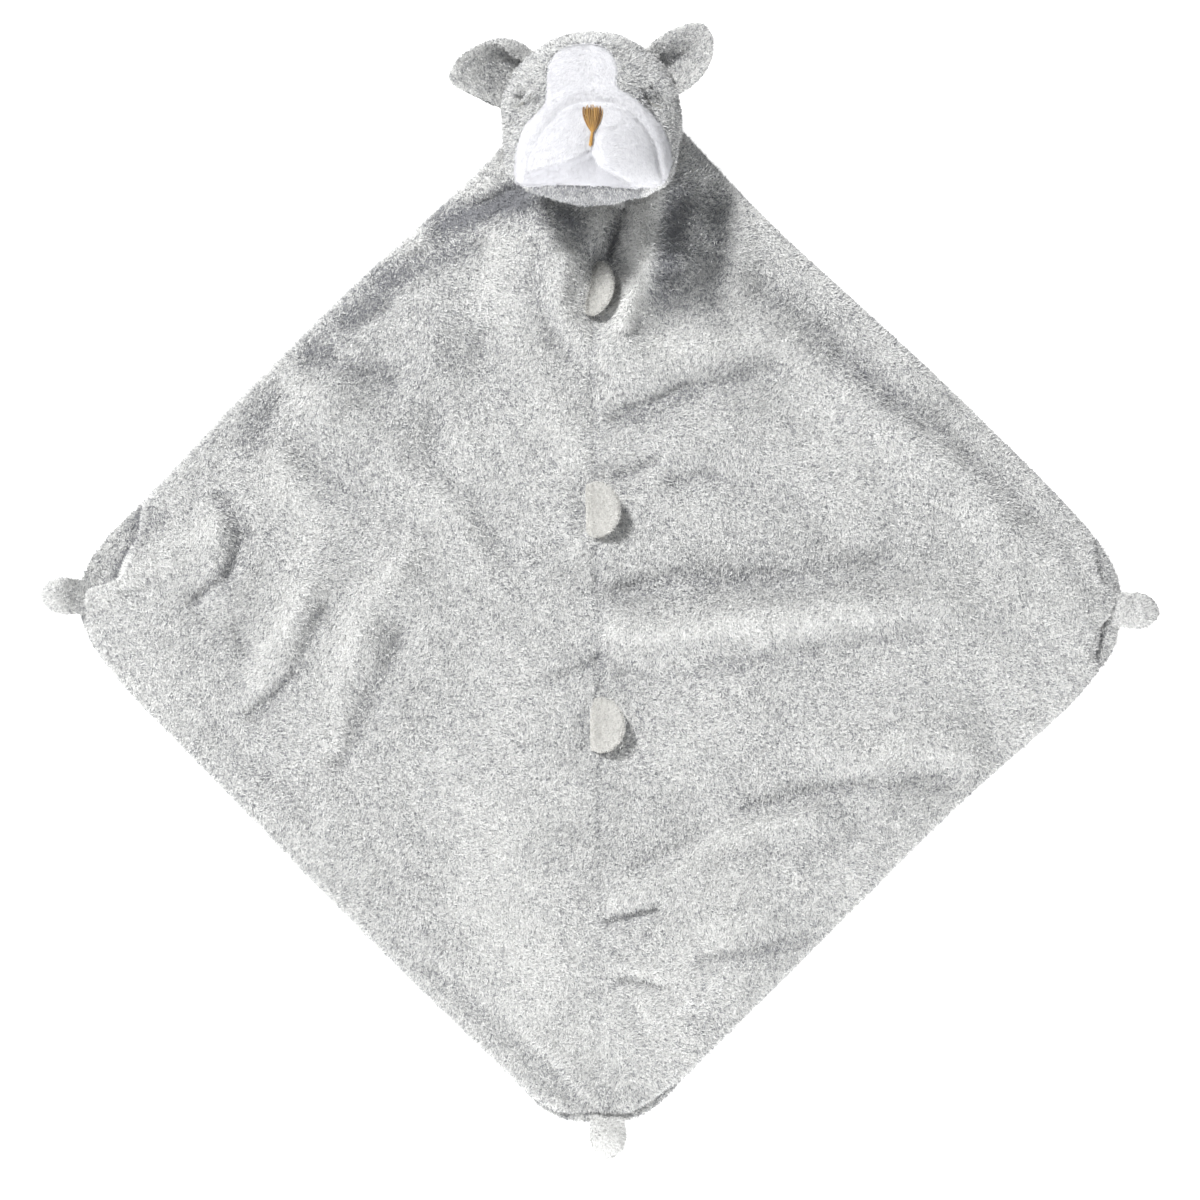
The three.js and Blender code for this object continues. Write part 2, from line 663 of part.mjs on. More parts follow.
function headPanels() {
  const reach = 2 * headHalfWidth;
  const half = seamGap / 2;
  const lining = headSolid(-headWall, liningSegments, liningRings);
  const shell = headSolid(0, headSegments, headRings).subtract(lining);
  const ahead = boxSolid([-reach, -reach, half - faceSeamBack], [reach, reach, reach]);
  const behind = boxSolid([-reach, -reach, -reach], [reach, reach, -half - faceSeamBack]);
  const face = shell.intersect(ahead);

  const white = onFace(whiteOutlineShares);
  const muzzle = onFace(muzzleOutlineShares);
  const lip = onFace(lipOutlineShares);
  const whiteInside = facePrism(white, whiteSteps, -half);
  const whiteOutside = facePrism(white, whiteSteps, half);

  const muzzleInside = facePrism(muzzle, muzzleSteps, -half);
  const muzzleFace = face.intersect(whiteInside).intersect(muzzleInside);
  const chinTop = whiteOutlineShares[0][1] * headHalfHeight;
  const chinBox = (grow) =>
    boxSolid([-chinLeft - grow, -reach, -reach], [chinRight + grow, chinTop + grow, reach]);
  const grey = face.subtract(whiteOutside);
  const sides = grey.subtract(chinBox(half));
  const neckHole = new THREE.CylinderGeometry(neckHoleRadius, neckHoleRadius, reach, holeSegments);
  neckHole.rotateX(Math.PI / 2);
  neckHole.translate(0, -headHalfHeight / 2, -reach / 2);

  return {
    blaze_panel: face.intersect(whiteInside).subtract(facePrism(muzzle, muzzleSteps, half)),
    muzzle_panel: muzzleFace.subtract(facePrism(lip, lipSteps, half)),
    lower_lip: muzzleFace.intersect(facePrism(lip, lipSteps, -half)),
    chin_panel: grey.intersect(chinBox(-half)),
    head_side_left: sides.intersect(boxSolid([-reach, -reach, -reach], [-half, reach, reach])),
    head_side_right: sides.intersect(boxSolid([half, -reach, -reach], [reach, reach, reach])),
    head_back: shell.intersect(behind).subtract(solidOf(neckHole)),
  };
}

// Embroidery lies on the fleece, so it is a slice of a slightly larger head.
function embroidery(points, steps) {
  const over = headSolid(seamGap + threadThickness, headSegments, headRings);
  const under = headSolid(seamGap, headSegments, headRings);
  return geometryOf(over.subtract(under).intersect(facePrism(points, steps, 0)));
}

function noseFoot() {
  return [noseFootShare[0] * headHalfWidth, noseFootShare[1] * headHalfHeight];
}

function nosePoints() {
  const [footX, footY] = noseFoot();
  return noseOutlineShares.map(([x, y]) => [footX + x * noseWidth, footY + y * noseHeight]);
}

function mouthPoints() {
  const [footX, footY] = noseFoot();
  const top = footY - seamGap;
  const half = mouthStitchWidth / 2;
  const drift = -mouthStitchTiltShare * mouthStitchLength;
  return [
    [footX - half, top],
    [footX + half, top],
    [footX + half + drift, top - mouthStitchLength],
    [footX - half + drift, top - mouthStitchLength],
  ];
}

// A closed eye: one stitched line, slanting down and outwards.
function eyePoints([x, y], lean) {
  return eyeOutlineShares.map(([along, across]) => {
    const dx = along * eyeStitchLength;
    const dy = across * eyeStitchWidth;
    return [
      x * headHalfWidth + dx * Math.cos(lean) + dy * Math.sin(lean),
      y * headHalfHeight - dx * Math.sin(lean) + dy * Math.cos(lean),
    ];
  });
}

// Ears: two cupped leaves of fleece, sewn round the edge and into the side of the head

// Each layer lies on one side of a cupped middle surface.
function earLayerGeometry(side, ear) {
  const columns = earColumns;
  const rows = earRows;
  const middle = (column, row) => {
    const across = (2 * column) / columns - 1;
    const along = row / rows;
    const round = Math.sqrt(1 - (earTipShare * along) ** 3);
    const widen = earRootShare + (1 - earRootShare) * smoothStep(along / earWidenShare);
    const halfWidth = ear.widthShare * earHalfWidth * widen * round;
    const level = across ** 2 - earCupLevelShare;
    const cup = ear.cupShare * earCup * level * smoothStep(along / earCupStartShare);
    const x = across * halfWidth + ear.sweepShare * earSweep * along ** 3;
    return [x, along * earLength - earBendReach + earSeat, cup];
  };
  const thickness = (column, row) => {
    const across = (2 * column) / columns - 1;
    const along = row / rows;
    const body = (1 - across ** 4) * smoothStep(along / earWidenShare) * (1 - along ** 6);
    return earSeamLayer + (earLayer - earSeamLayer) * body;
  };
  const surface = (out) => (column, row) => {
    const [x, y, z] = middle(column, row);
    return [x, y, z + side * (seamGap / 2 + out * thickness(column, row))];
  };
  return side > 0
    ? sheetGeometry(columns, rows, surface(1), surface(0))
    : sheetGeometry(columns, rows, surface(0), surface(1));
}

// The bend line runs along the group's own X, and the ear along its Y.
function earGroup(ear) {
  const group = new THREE.Group();
  const angle = radians(ear.angle);
  const direction = new THREE.Vector3(Math.cos(angle), Math.sin(angle), 0);
  const root = headPoint(direction, earBendReach);
  group.name = "ear_" + ear.name + "_bend";
  group.position.copy(root);
  group.rotation.z = angle - Math.PI / 2;
  group.add(piece("ear_" + ear.name + "_front", earLayerGeometry(1, ear), greyFleece));
  group.add(piece("ear_" + ear.name + "_back", earLayerGeometry(-1, ear), greyFleece));
  return group;
}

function headGroup() {
  const group = new THREE.Group();
  group.position.set(-headLeft, headUp, headCentreHeight);
  const finishes = { blaze_panel: whiteFleece, muzzle_panel: whiteFleece, lower_lip: whiteFleece };
  for (const [name, panel] of Object.entries(headPanels()))
    group.add(piece(name, geometryOf(panel), finishes[name] ?? greyFleece));
  const filling = headSolid(-headWall - seamGap, liningSegments, liningRings);
  group.add(piece("head_filling", geometryOf(filling), fibreFilling));
  group.add(piece("nose_embroidery", embroidery(nosePoints(), noseSteps), brownThread));
  group.add(piece("mouth_stitch", embroidery(mouthPoints(), mouthSteps), brownThread));
  ["eye_stitch_left", "eye_stitch_right"].forEach((name, k) => {
    const outline = eyePoints(eyeShares[k], eyeLeanShares[k]);
    group.add(piece(name, embroidery(outline, eyeSteps), greyThread));
  });
  ears.forEach((ear) => group.add(earGroup(ear)));
  return group;
}

// Neck: the cloth bunched into pleats round the line that the head nods about

// The largest radius round the bend line that the head's round underside never enters.
function neckClearRadius() {
  const centreHeight = headCentreHeight - neckBendHeight;
  const centreAlong = headUp - neckBendUp;
  let nearest = headUp;
  for (let k = 0; k < clearSteps; k++) {
    const angle = (2 * Math.PI * k) / clearSteps;
    const y = centreAlong + headHalfHeight * Math.cos(angle);
    const z = centreHeight + headHalfDepth * Math.sin(angle);
    nearest = Math.min(nearest, Math.hypot(y, z));
  }
  return nearest - seamGap;
}

function neckGeometry() {
  const ball = new THREE.SphereGeometry(1, neckSegments, neckRings);
  ball.rotateZ(Math.PI / 2);
  const place = ball.attributes.position;
  for (let k = 0; k < place.count; k++) {
    const x = place.getX(k) * neckHalfWidth;
    const wave = (1 + Math.cos((2 * Math.PI * x) / pleatPitch)) / 2;
    const pleat = 1 - pleatDepthShare * wave;
    place.setXYZ(k, x, place.getY(k) * neckReach * pleat, place.getZ(k) * neckReach * pleat);
  }
  ball.translate(0, neckBendUp, neckBendHeight);
  return geometryOf(solidOf(ball).subtract(clothClearance()));
}

const lovey = new THREE.Group();
lovey.add(piece("front_panel_left", frontPanelGeometry(-1), greyFleece));
lovey.add(piece("front_panel_right", frontPanelGeometry(1), greyFleece));
lovey.add(piece("back_panel", backPanelGeometry(), greyFleece));
lovey.add(piece("neck_gather", neckGeometry(), greyFleece));
tabs.forEach((tab) => lovey.add(tabGroup(tab)));
paws.forEach((paw) => lovey.add(pawGroup(paw)));
lovey.add(headGroup());

export default lovey;
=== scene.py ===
import json
import math

import bmesh
import bpy
import numpy as np
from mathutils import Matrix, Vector
from mathutils.bvhtree import BVHTree


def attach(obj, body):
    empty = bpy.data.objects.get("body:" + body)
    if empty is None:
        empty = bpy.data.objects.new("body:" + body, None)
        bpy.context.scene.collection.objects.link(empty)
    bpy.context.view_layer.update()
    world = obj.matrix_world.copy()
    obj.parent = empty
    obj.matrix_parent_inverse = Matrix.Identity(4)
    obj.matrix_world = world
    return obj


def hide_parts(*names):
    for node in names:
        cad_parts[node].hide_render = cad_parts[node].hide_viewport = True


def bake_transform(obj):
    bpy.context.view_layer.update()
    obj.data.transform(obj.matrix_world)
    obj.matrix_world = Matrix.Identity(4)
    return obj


# A plush comfort blanket with a stuffed bulldog head. Shapes are worked out in millimetres and
# become metres in buildMesh. The rest pose lies on the floor with the head at +Y.

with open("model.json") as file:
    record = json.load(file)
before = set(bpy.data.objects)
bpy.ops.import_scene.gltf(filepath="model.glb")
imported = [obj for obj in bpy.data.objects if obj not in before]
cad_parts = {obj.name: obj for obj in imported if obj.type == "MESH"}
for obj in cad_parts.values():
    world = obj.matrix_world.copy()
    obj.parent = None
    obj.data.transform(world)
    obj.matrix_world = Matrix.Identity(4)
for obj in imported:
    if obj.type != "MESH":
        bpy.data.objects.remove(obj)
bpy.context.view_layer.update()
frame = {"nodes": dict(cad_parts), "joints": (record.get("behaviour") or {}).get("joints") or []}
scene = bpy.context.scene
print("frame loaded:", len(frame["nodes"]), "solids")


def linearColour(hexColour, alpha=1.0):
    channels = [int(hexColour[k:k + 2], 16) / 255 for k in (1, 3, 5)]
    return tuple(c / 12.92 if c <= 0.04045 else ((c + 0.055) / 1.055) ** 2.4 for c in channels) + (alpha,)


def addNode(tree, kind, inputs=None, **settings):
    node = tree.nodes.new(kind)
    for name, value in settings.items():
        setattr(node, name, value)
    for key, value in (inputs or {}).items():
        if isinstance(value, bpy.types.NodeSocket):
            tree.links.new(value, node.inputs[key])
        else:
            node.inputs[key].default_value = value
    return node


def smoothStep(t):
    t = np.clip(t, 0, 1)
    return t * t * (3 - 2 * t)


def unit(vectors):
    return vectors / np.maximum(np.linalg.norm(vectors, axis=-1, keepdims=True), 1e-9)


def buildMesh(name, points, faces, finish=None):
    mesh = bpy.data.meshes.new(name)
    mesh.from_pydata((np.asarray(points) * 0.001).tolist(), [], [list(f) for f in faces])
    mesh.validate()
    mesh.shade_smooth()
    if finish:
        mesh.materials.append(finish)
    obj = bpy.data.objects.new(name, mesh)
    scene.collection.objects.link(obj)
    return obj


def gridFaces(columns, rows, wrap=False):
    # quads over rows of points, which face up when columns run along X and rows along Y
    across = columns if wrap else columns - 1
    c, r = np.meshgrid(np.arange(across), np.arange(rows - 1))
    a = (r * columns + c).ravel()
    b = (r * columns + (c + 1) % columns).ravel()
    return np.stack([a, b, b + columns, a + columns], axis=1)


def pointsOf(mesh):
    co = np.empty(len(mesh.vertices) * 3, np.float32)
    mesh.vertices.foreach_get("co", co)
    return co.reshape(-1, 3) * 1000.0


def setAttribute(mesh, name, kind, values):
    attribute = mesh.attributes.new(name, kind, "POINT")
    attribute.data.foreach_set("vector" if kind == "FLOAT_VECTOR" else "value",
                               np.asarray(values, np.float32).ravel())


def wavyField(x, y, seed, size):
    # a smooth field between about -1 and 1 whose waves are about size mm long
    draw = np.random.default_rng(seed)
    total = np.zeros_like(x)
    for _ in range(9):
        angle = draw.uniform(0, 2 * math.pi)
        pitch = size * draw.uniform(0.7, 1.6)
        total += np.sin(2 * math.pi * (x * math.cos(angle) + y * math.sin(angle)) / pitch
                        + draw.uniform(0, 2 * math.pi))
    return total / 3.2


# The camera looks straight down. Places and sizes of camera and lamps are metres.
view = {
    "height": 2.2,
    "clothHeight": 0.004,
    "frameWidth": 0.5364,  # what the picture spans at the cloth
    "sensor": 36.0,
}
cameraData = bpy.data.cameras.new("studio_camera")
cameraData.sensor_width = view["sensor"]
cameraData.lens = view["sensor"] * (view["height"] - view["clothHeight"]) / view["frameWidth"]
camera = bpy.data.objects.new("studio_camera", cameraData)
camera.location = (0, 0, view["height"])
scene.collection.objects.link(camera)
scene.camera = camera

light = {
    "softBoxes": {  # place, size and power
        # behind and to the left of the head
        "key_softbox": ((-1.93, 2.81, 2.85), 0.8, 236.0),
        # low in front, so that it reaches the muzzle more than the cloth
        "fill_softbox": ((0.5, -2.65, 0.62), 1.6, 130.0),
        # low at the left, so that the folds show inside the head's shadow too
        "side_softbox": ((-2.6, -0.9, 0.8), 1.2, 20.0),
    },
    "roomLevel": 0.26,
    "floorLevel": 0.9,
}
for name, (place, size, power) in light["softBoxes"].items():
    data = bpy.data.lights.new(name, "AREA")
    data.size = size
    data.energy = power
    lamp = bpy.data.objects.new(name, data)
    lamp.location = place
    lamp.rotation_euler = (-Vector(place)).to_track_quat("-Z", "Y").to_euler()
    scene.collection.objects.link(lamp)

room = bpy.data.worlds.new("white_room")
room.use_nodes = True
room.node_tree.nodes.clear()
rays = addNode(room.node_tree, "ShaderNodeLightPath")
seen = addNode(room.node_tree, "ShaderNodeMath", {0: rays.outputs["Is Camera Ray"],
                                                  1: rays.outputs["Is Glossy Ray"]}, operation="MAXIMUM")
level = addNode(room.node_tree, "ShaderNodeMapRange", {"Value": seen.outputs[0],
                                                       "To Min": light["roomLevel"], "To Max": 1.0})
sky = addNode(room.node_tree, "ShaderNodeBackground", {"Color": (0.94, 0.965, 1, 1),
                                                       "Strength": level.outputs[0]})
addNode(room.node_tree, "ShaderNodeOutputWorld", {"Surface": sky.outputs[0]})
scene.world = room
scene.view_settings.view_transform = "Standard"

floorFinish = bpy.data.materials.new("white_seamless_paper")  # matt, so only the soft shadow shows on it
floorFinish.use_nodes = True
floorTree = floorFinish.node_tree
floorTree.nodes.clear()
floorRays = addNode(floorTree, "ShaderNodeLightPath")
matt = addNode(floorTree, "ShaderNodeBsdfDiffuse", {"Color": linearColour("#f4f4f4")})
glow = addNode(floorTree, "ShaderNodeEmission", {"Color": (1, 1, 1, 1), "Strength": light["floorLevel"]})
lifted = addNode(floorTree, "ShaderNodeAddShader", {0: matt.outputs[0], 1: glow.outputs[0]})
shown = addNode(floorTree, "ShaderNodeMixShader", {0: floorRays.outputs["Is Camera Ray"],
                                                   1: matt.outputs[0], 2: lifted.outputs[0]})
addNode(floorTree, "ShaderNodeOutputMaterial", {"Surface": shown.outputs[0]})
floor = buildMesh("paper_floor", [(-4000, -4000, -0.4), (4000, -4000, -0.4), (4000, 4000, -0.4),
                                  (-4000, 4000, -0.4)], [(0, 1, 2, 3)], floorFinish)
print("camera, light and floor ready")


def newFinish(name, sockets):
    finish = bpy.data.materials.new(name)
    finish.use_nodes = True
    shader = finish.node_tree.nodes["Principled BSDF"]
    for socket, value in sockets.items():
        shader.inputs[socket].default_value = value
    return finish, finish.node_tree, shader.inputs


def pileFinish(name, stops, rootPaintedShade, sheen):
    # Brushed polyester pile, matt and a little glossy at a low angle. Each tuft takes one tint of the yarn,
    # and painted shade darkens it from its tip down to its root.
    finish, tree, sockets = newFinish(name, {"Roughness": 0.85, "Specular IOR Level": 0.25,
                                             "Sheen Weight": sheen, "Sheen Roughness": 0.45})
    tint = addNode(tree, "ShaderNodeAttribute", attribute_name="tint")
    ramp = addNode(tree, "ShaderNodeValToRGB", {"Fac": tint.outputs["Fac"]})
    ramp.color_ramp.elements.remove(ramp.color_ramp.elements[1])
    for k, (place, colour) in enumerate(stops):
        stop = ramp.color_ramp.elements[0] if k == 0 else ramp.color_ramp.elements.new(place)
        stop.position = place
        stop.color = linearColour(colour)
    # painted shade: the tuft's tint is multiplied darker towards its root
    height = addNode(tree, "ShaderNodeAttribute", attribute_name="along")
    lift = addNode(tree, "ShaderNodeMapRange", {"Value": height.outputs["Fac"], "From Max": 0.7,
                                                "To Min": rootPaintedShade, "To Max": 1.0})
    grey = addNode(tree, "ShaderNodeCombineColor", {k: lift.outputs[0] for k in range(3)})
    colour = addNode(tree, "ShaderNodeMix", {"Factor": 1.0, 6: ramp.outputs["Color"], 7: grey.outputs[0]},
                     data_type="RGBA", blend_type="MULTIPLY")
    tree.links.new(colour.outputs[2], sockets["Base Color"])
    return finish


def backingFinish(name, colour, shade, pitch):
    # The knitted backing that the pile stands in: fine loops, matt, seen only between tufts
    finish, tree, sockets = newFinish(name, {"Roughness": 0.95, "Specular IOR Level": 0.15})
    place = addNode(tree, "ShaderNodeTexCoord")
    loops = addNode(tree, "ShaderNodeTexNoise", {"Vector": place.outputs["Object"], "Scale": 1000 / pitch,
                                                 "Detail": 2.0})
    tone = addNode(tree, "ShaderNodeMix", {"Factor": loops.outputs["Fac"], 6: linearColour(colour),
                                           7: linearColour(shade)}, data_type="RGBA")
    bump = addNode(tree, "ShaderNodeBump", {"Height": loops.outputs["Fac"], "Strength": 0.5,
                                            "Distance": 0.0006})
    tree.links.new(tone.outputs[2], sockets["Base Color"])
    tree.links.new(bump.outputs[0], sockets["Normal"])
    return finish


def threadFinish(name, colour, shade, pitch):
    # Rayon embroidery thread: two plies twisted, with a soft lustre along it
    finish, tree, sockets = newFinish(name, {"Roughness": 0.42, "Sheen Weight": 0.2})
    place = addNode(tree, "ShaderNodeTexCoord")
    plies = addNode(tree, "ShaderNodeTexNoise", {"Vector": place.outputs["Object"], "Scale": 1000 / pitch,
                                                 "Detail": 3.0})
    tint = addNode(tree, "ShaderNodeAttribute", attribute_name="tint")
    worn = addNode(tree, "ShaderNodeMath", {0: plies.outputs["Fac"], 1: 0.4, 2: tint.outputs["Fac"]},
                   operation="MULTIPLY_ADD", use_clamp=True)
    tone = addNode(tree, "ShaderNodeMix", {"Factor": worn.outputs[0], 6: linearColour(colour),
                                           7: linearColour(shade)}, data_type="RGBA")
    bump = addNode(tree, "ShaderNodeBump", {"Height": plies.outputs["Fac"], "Strength": 0.4,
                                            "Distance": 0.0002})
    tree.links.new(tone.outputs[2], sockets["Base Color"])
    tree.links.new(bump.outputs[0], sockets["Normal"])
    return finish


# yarn tints from dark to light, how dark the painted shade at a tuft's root is, and how much sheen it has
heatherPile = pileFinish("heather_polyester_plush", [(0.0, "#9c9da1"), (0.3, "#dadad9"), (0.6, "#f0f0ee"),
                                                     (1.0, "#fbfbf9")], 0.7, 0.2)
whitePile = pileFinish("white_polyester_plush", [(0.0, "#dcdce0"), (0.5, "#eaeaed"),
                                                 (1.0, "#f4f4f6")], 0.9, 0.4)
palePile = pileFinish("cream_velour_pile", [(0.0, "#cdccc8"), (0.4, "#e4e3df"), (1.0, "#f2f1ed")], 0.8, 0.2)
# the last number is how far apart the loops, fibres or plies are, in millimetres
greyBacking = backingFinish("grey_knit_backing", "#b4b5b5", "#9a9b9c", 0.8)
whiteBacking = backingFinish("white_knit_backing", "#dcdbe2", "#cfced6", 0.8)
paleBacking = backingFinish("cream_knit_backing", "#cccac4", "#bdbbb4", 0.8)
wadding = backingFinish("polyester_wadding", "#f1efe9", "#dcdad3", 2.0)
noseYarn = threadFinish("golden_rayon_thread", "#c69a52", "#70481b", 0.5)
# a dark sheet's colours: painted shade that shows between the nose's threads
noseShade = threadFinish("brown_painted_shade_under_threads", "#5a3715", "#38210c", 0.6)
eyeThread = threadFinish("grey_rayon_thread", "#a9a8a3", "#8b8a86", 0.5)


def bladeMesh():
    # one tuft of fibres: a flat tapering blade that faces +Y and points along Z
    mesh = bpy.data.meshes.new("tuft_blade")
    mesh.from_pydata([(-0.5, 0, 0), (0.5, 0, 0), (0, 0, 1)], [], [(0, 2, 1)])
    setAttribute(mesh, "along", "FLOAT", [0, 0, 1])
    setAttribute(mesh, "across", "FLOAT", [-1, 1, 0])
    return mesh


blade = bpy.data.objects.new("tuft_blade", bladeMesh())
scene.collection.objects.link(blade)


def pileTree():
    # Tufts of pile on a surface. Length and Width are metres, and Tufts is how many a square metre has.
    tree = bpy.data.node_groups.new("plushPile", "GeometryNodeTree")
    for name, kind in (("Surface", "Geometry"), ("Blade", "Object"), ("Tufts", "Float"), ("Length", "Float"),
                       ("Width", "Float"), ("Rise", "Float"), ("Clump", "Float"), ("ClumpSize", "Float"),
                       ("Tangle", "Float"), ("Mottle", "Float"), ("Fuzz", "Float"), ("Seed", "Int"),
                       ("Finish", "Material")):
        tree.interface.new_socket(name, in_out="INPUT", socket_type="NodeSocket" + kind)
    tree.interface.new_socket("Pile", in_out="OUTPUT", socket_type="NodeSocketGeometry")
    given = addNode(tree, "NodeGroupInput").outputs
    kept = {name: addNode(tree, "GeometryNodeInputNamedAttribute", {"Name": name}, data_type=kind).outputs[0]
            for name, kind in (("thick", "FLOAT"), ("tall", "FLOAT"), ("shade", "FLOAT"), ("tint", "FLOAT"),
                               ("across", "FLOAT"), ("along", "FLOAT"), ("nap", "FLOAT_VECTOR"),
                               ("rootNormal", "FLOAT_VECTOR"))}

    density = addNode(tree, "ShaderNodeMath", {0: given["Tufts"], 1: kept["thick"]}, operation="MULTIPLY")
    roots = addNode(tree, "GeometryNodeDistributePointsOnFaces",
                    {"Mesh": given["Surface"], "Density": density.outputs[0], "Seed": given["Seed"]})
    up = roots.outputs["Normal"]

    # each tuft leans the way of the nap, drawn to its clump and a little astray along the cloth
    place = addNode(tree, "GeometryNodeInputPosition").outputs[0]
    fine = addNode(tree, "ShaderNodeMath", {0: 1.0, 1: given["ClumpSize"]}, operation="DIVIDE").outputs[0]
    clumps = addNode(tree, "ShaderNodeTexNoise", {"Vector": place, "Scale": fine, "Detail": 1.0})
    toClump = addNode(tree, "ShaderNodeVectorMath", {0: clumps.outputs["Color"], 1: (0.5, 0.5, 0.5)},
                      operation="SUBTRACT")
    drawn = addNode(tree, "ShaderNodeVectorMath", {0: toClump.outputs[0], 3: given["Clump"]},
                    operation="SCALE")
    anyWay = addNode(tree, "FunctionNodeRandomValue", {0: (-1, -1, -1), 1: (1, 1, 1), "Seed": given["Seed"]},
                     data_type="FLOAT_VECTOR").outputs[0]
    strayed = addNode(tree, "ShaderNodeVectorMath", {0: anyWay, 3: given["Tangle"]}, operation="SCALE")
    astray = addNode(tree, "ShaderNodeVectorMath", {0: drawn.outputs[0], 1: strayed.outputs[0]},
                     operation="ADD")
    outOfCloth = addNode(tree, "ShaderNodeVectorMath", {0: astray.outputs[0], 1: up}, operation="DOT_PRODUCT")
    standing = addNode(tree, "ShaderNodeVectorMath", {0: up, 3: outOfCloth.outputs[1]}, operation="SCALE")
    flat = addNode(tree, "ShaderNodeVectorMath", {0: astray.outputs[0], 1: standing.outputs[0]},
                   operation="SUBTRACT")
    swept = addNode(tree, "ShaderNodeVectorMath", {0: kept["nap"], 1: flat.outputs[0]}, operation="ADD")

    # how much it rises, how light its yarn is and how long it is are drawn with seeds of their own
    drawnAtRandom = []
    for extra, least, most in ((5, 0.3, 1.7), (7, 0.0, 1.0), (3, 0.65, 1.25)):
        seed = addNode(tree, "ShaderNodeMath", {0: given["Seed"], 1: extra}, operation="ADD")
        number = addNode(tree, "FunctionNodeRandomValue", {2: least, 3: most, "Seed": seed.outputs[0]},
                         data_type="FLOAT")
        drawnAtRandom.append(number.outputs[1])
    lean, yarn, size = drawnAtRandom
    rise = addNode(tree, "ShaderNodeMath", {0: given["Rise"], 1: lean}, operation="MULTIPLY")
    risen = addNode(tree, "ShaderNodeVectorMath", {0: up, 3: rise.outputs[0]}, operation="SCALE")
    way = addNode(tree, "ShaderNodeVectorMath", {0: swept.outputs[0], 1: risen.outputs[0]}, operation="ADD")

    # heather: the yarns are mixed tuft by tuft, and unevenly from place to place
    coarse = addNode(tree, "ShaderNodeMath", {0: fine, 1: 0.7}, operation="MULTIPLY")
    patchy = addNode(tree, "ShaderNodeTexNoise", {"Vector": place, "Scale": coarse.outputs[0], "Detail": 2.0})
    centred = addNode(tree, "ShaderNodeMath", {0: patchy.outputs["Fac"], 1: 0.5}, operation="SUBTRACT")
    mottle = addNode(tree, "ShaderNodeMath", {0: centred.outputs[0], 1: given["Mottle"]},
                     operation="MULTIPLY")
    mixed = addNode(tree, "ShaderNodeMath", {0: yarn, 1: mottle.outputs[0]}, operation="ADD")
    # the shade attribute adds tone together with painted light and shade
    tint = addNode(tree, "ShaderNodeMath", {0: mixed.outputs[0], 1: kept["shade"]},
                   operation="ADD", use_clamp=True)
    fuzz = addNode(tree, "ShaderNodeVectorMath", {0: anyWay, 3: given["Fuzz"]}, operation="SCALE")
    ruffled = addNode(tree, "ShaderNodeVectorMath", {0: up, 1: fuzz.outputs[0]}, operation="ADD")
    facing = addNode(tree, "ShaderNodeVectorMath", {0: ruffled.outputs[0]}, operation="NORMALIZE")
    rooted = roots.outputs["Points"]
    for name, kind, value in (("tint", "FLOAT", tint), ("rootNormal", "FLOAT_VECTOR", facing)):
        rooted = addNode(tree, "GeometryNodeStoreNamedAttribute",
                         {"Geometry": rooted, "Name": name, "Value": value.outputs[0]},
                         data_type=kind, domain="POINT").outputs[0]

    turn = addNode(tree, "FunctionNodeAxesToRotation", {0: way.outputs[0], 1: up},
                   primary_axis="Z", secondary_axis="Y")
    drawnOut = addNode(tree, "ShaderNodeMath", {0: given["Length"], 1: size}, operation="MULTIPLY")
    long = addNode(tree, "ShaderNodeMath", {0: drawnOut.outputs[0], 1: kept["tall"]}, operation="MULTIPLY")
    scale = addNode(tree, "ShaderNodeCombineXYZ", {0: given["Width"], 1: 1.0, 2: long.outputs[0]})
    shape = addNode(tree, "GeometryNodeObjectInfo", {"Object": given["Blade"]})
    tufts = addNode(tree, "GeometryNodeInstanceOnPoints",
                    {"Points": rooted, "Instance": shape.outputs["Geometry"], "Rotation": turn.outputs[0],
                     "Scale": scale.outputs[0]})
    plain = addNode(tree, "GeometryNodeRealizeInstances", {0: tufts.outputs[0]})

    # every tuft's map place says only its tint and its height, so tufts of one tint share a place
    sideways = addNode(tree, "ShaderNodeMath", {0: kept["across"], 1: 0.002}, operation="MULTIPLY")
    byTint = addNode(tree, "ShaderNodeMath", {0: kept["tint"], 1: 0.9}, operation="MULTIPLY")
    u = addNode(tree, "ShaderNodeMath", {0: byTint.outputs[0], 1: sideways.outputs[0]}, operation="ADD")
    v = addNode(tree, "ShaderNodeMath", {0: kept["along"], 1: 0.25}, operation="MULTIPLY")
    corner = addNode(tree, "ShaderNodeCombineXYZ", {0: u.outputs[0], 1: v.outputs[0]})
    mapped = addNode(tree, "ShaderNodeVectorMath", {0: corner.outputs[0], 1: (0.05, 0.05, 0)},
                     operation="ADD")
    charted = addNode(tree, "GeometryNodeStoreNamedAttribute",
                      {"Geometry": plain.outputs[0], "Name": "OFBake", "Value": mapped.outputs[0]},
                      data_type="FLOAT2", domain="CORNER")
    soft = addNode(tree, "GeometryNodeSetMeshNormal",
                   {"Mesh": charted.outputs[0], "Custom Normal": kept["rootNormal"]},
                   mode="FREE", domain="POINT")
    done = addNode(tree, "GeometryNodeSetMaterial",
                   {"Geometry": soft.outputs[0], "Material": given["Finish"]})
    addNode(tree, "NodeGroupOutput", {0: done.outputs[0]})
    return tree


plushPile = pileTree()
unusedAfter = ("nap", "thick", "tall", "shade", "rootNormal", "across")


def evaluated(name, source, tree, values):
    # the tree's result on a copy of the source mesh, as a plain mesh
    carrier = bpy.data.objects.new(name + "_carrier", source)
    scene.collection.objects.link(carrier)
    modifier = carrier.modifiers.new("nodes", "NODES")
    modifier.node_group = tree
    for item in tree.interface.items_tree:
        if item.in_out == "INPUT" and item.name in values:
            modifier[item.identifier] = values[item.name]
    bpy.context.view_layer.update()
    graph = bpy.context.evaluated_depsgraph_get()
    mesh = bpy.data.meshes.new_from_object(carrier.evaluated_get(graph))
    bpy.data.objects.remove(carrier)
    mesh.name = name
    obj = bpy.data.objects.new(name, mesh)
    scene.collection.objects.link(obj)
    return obj


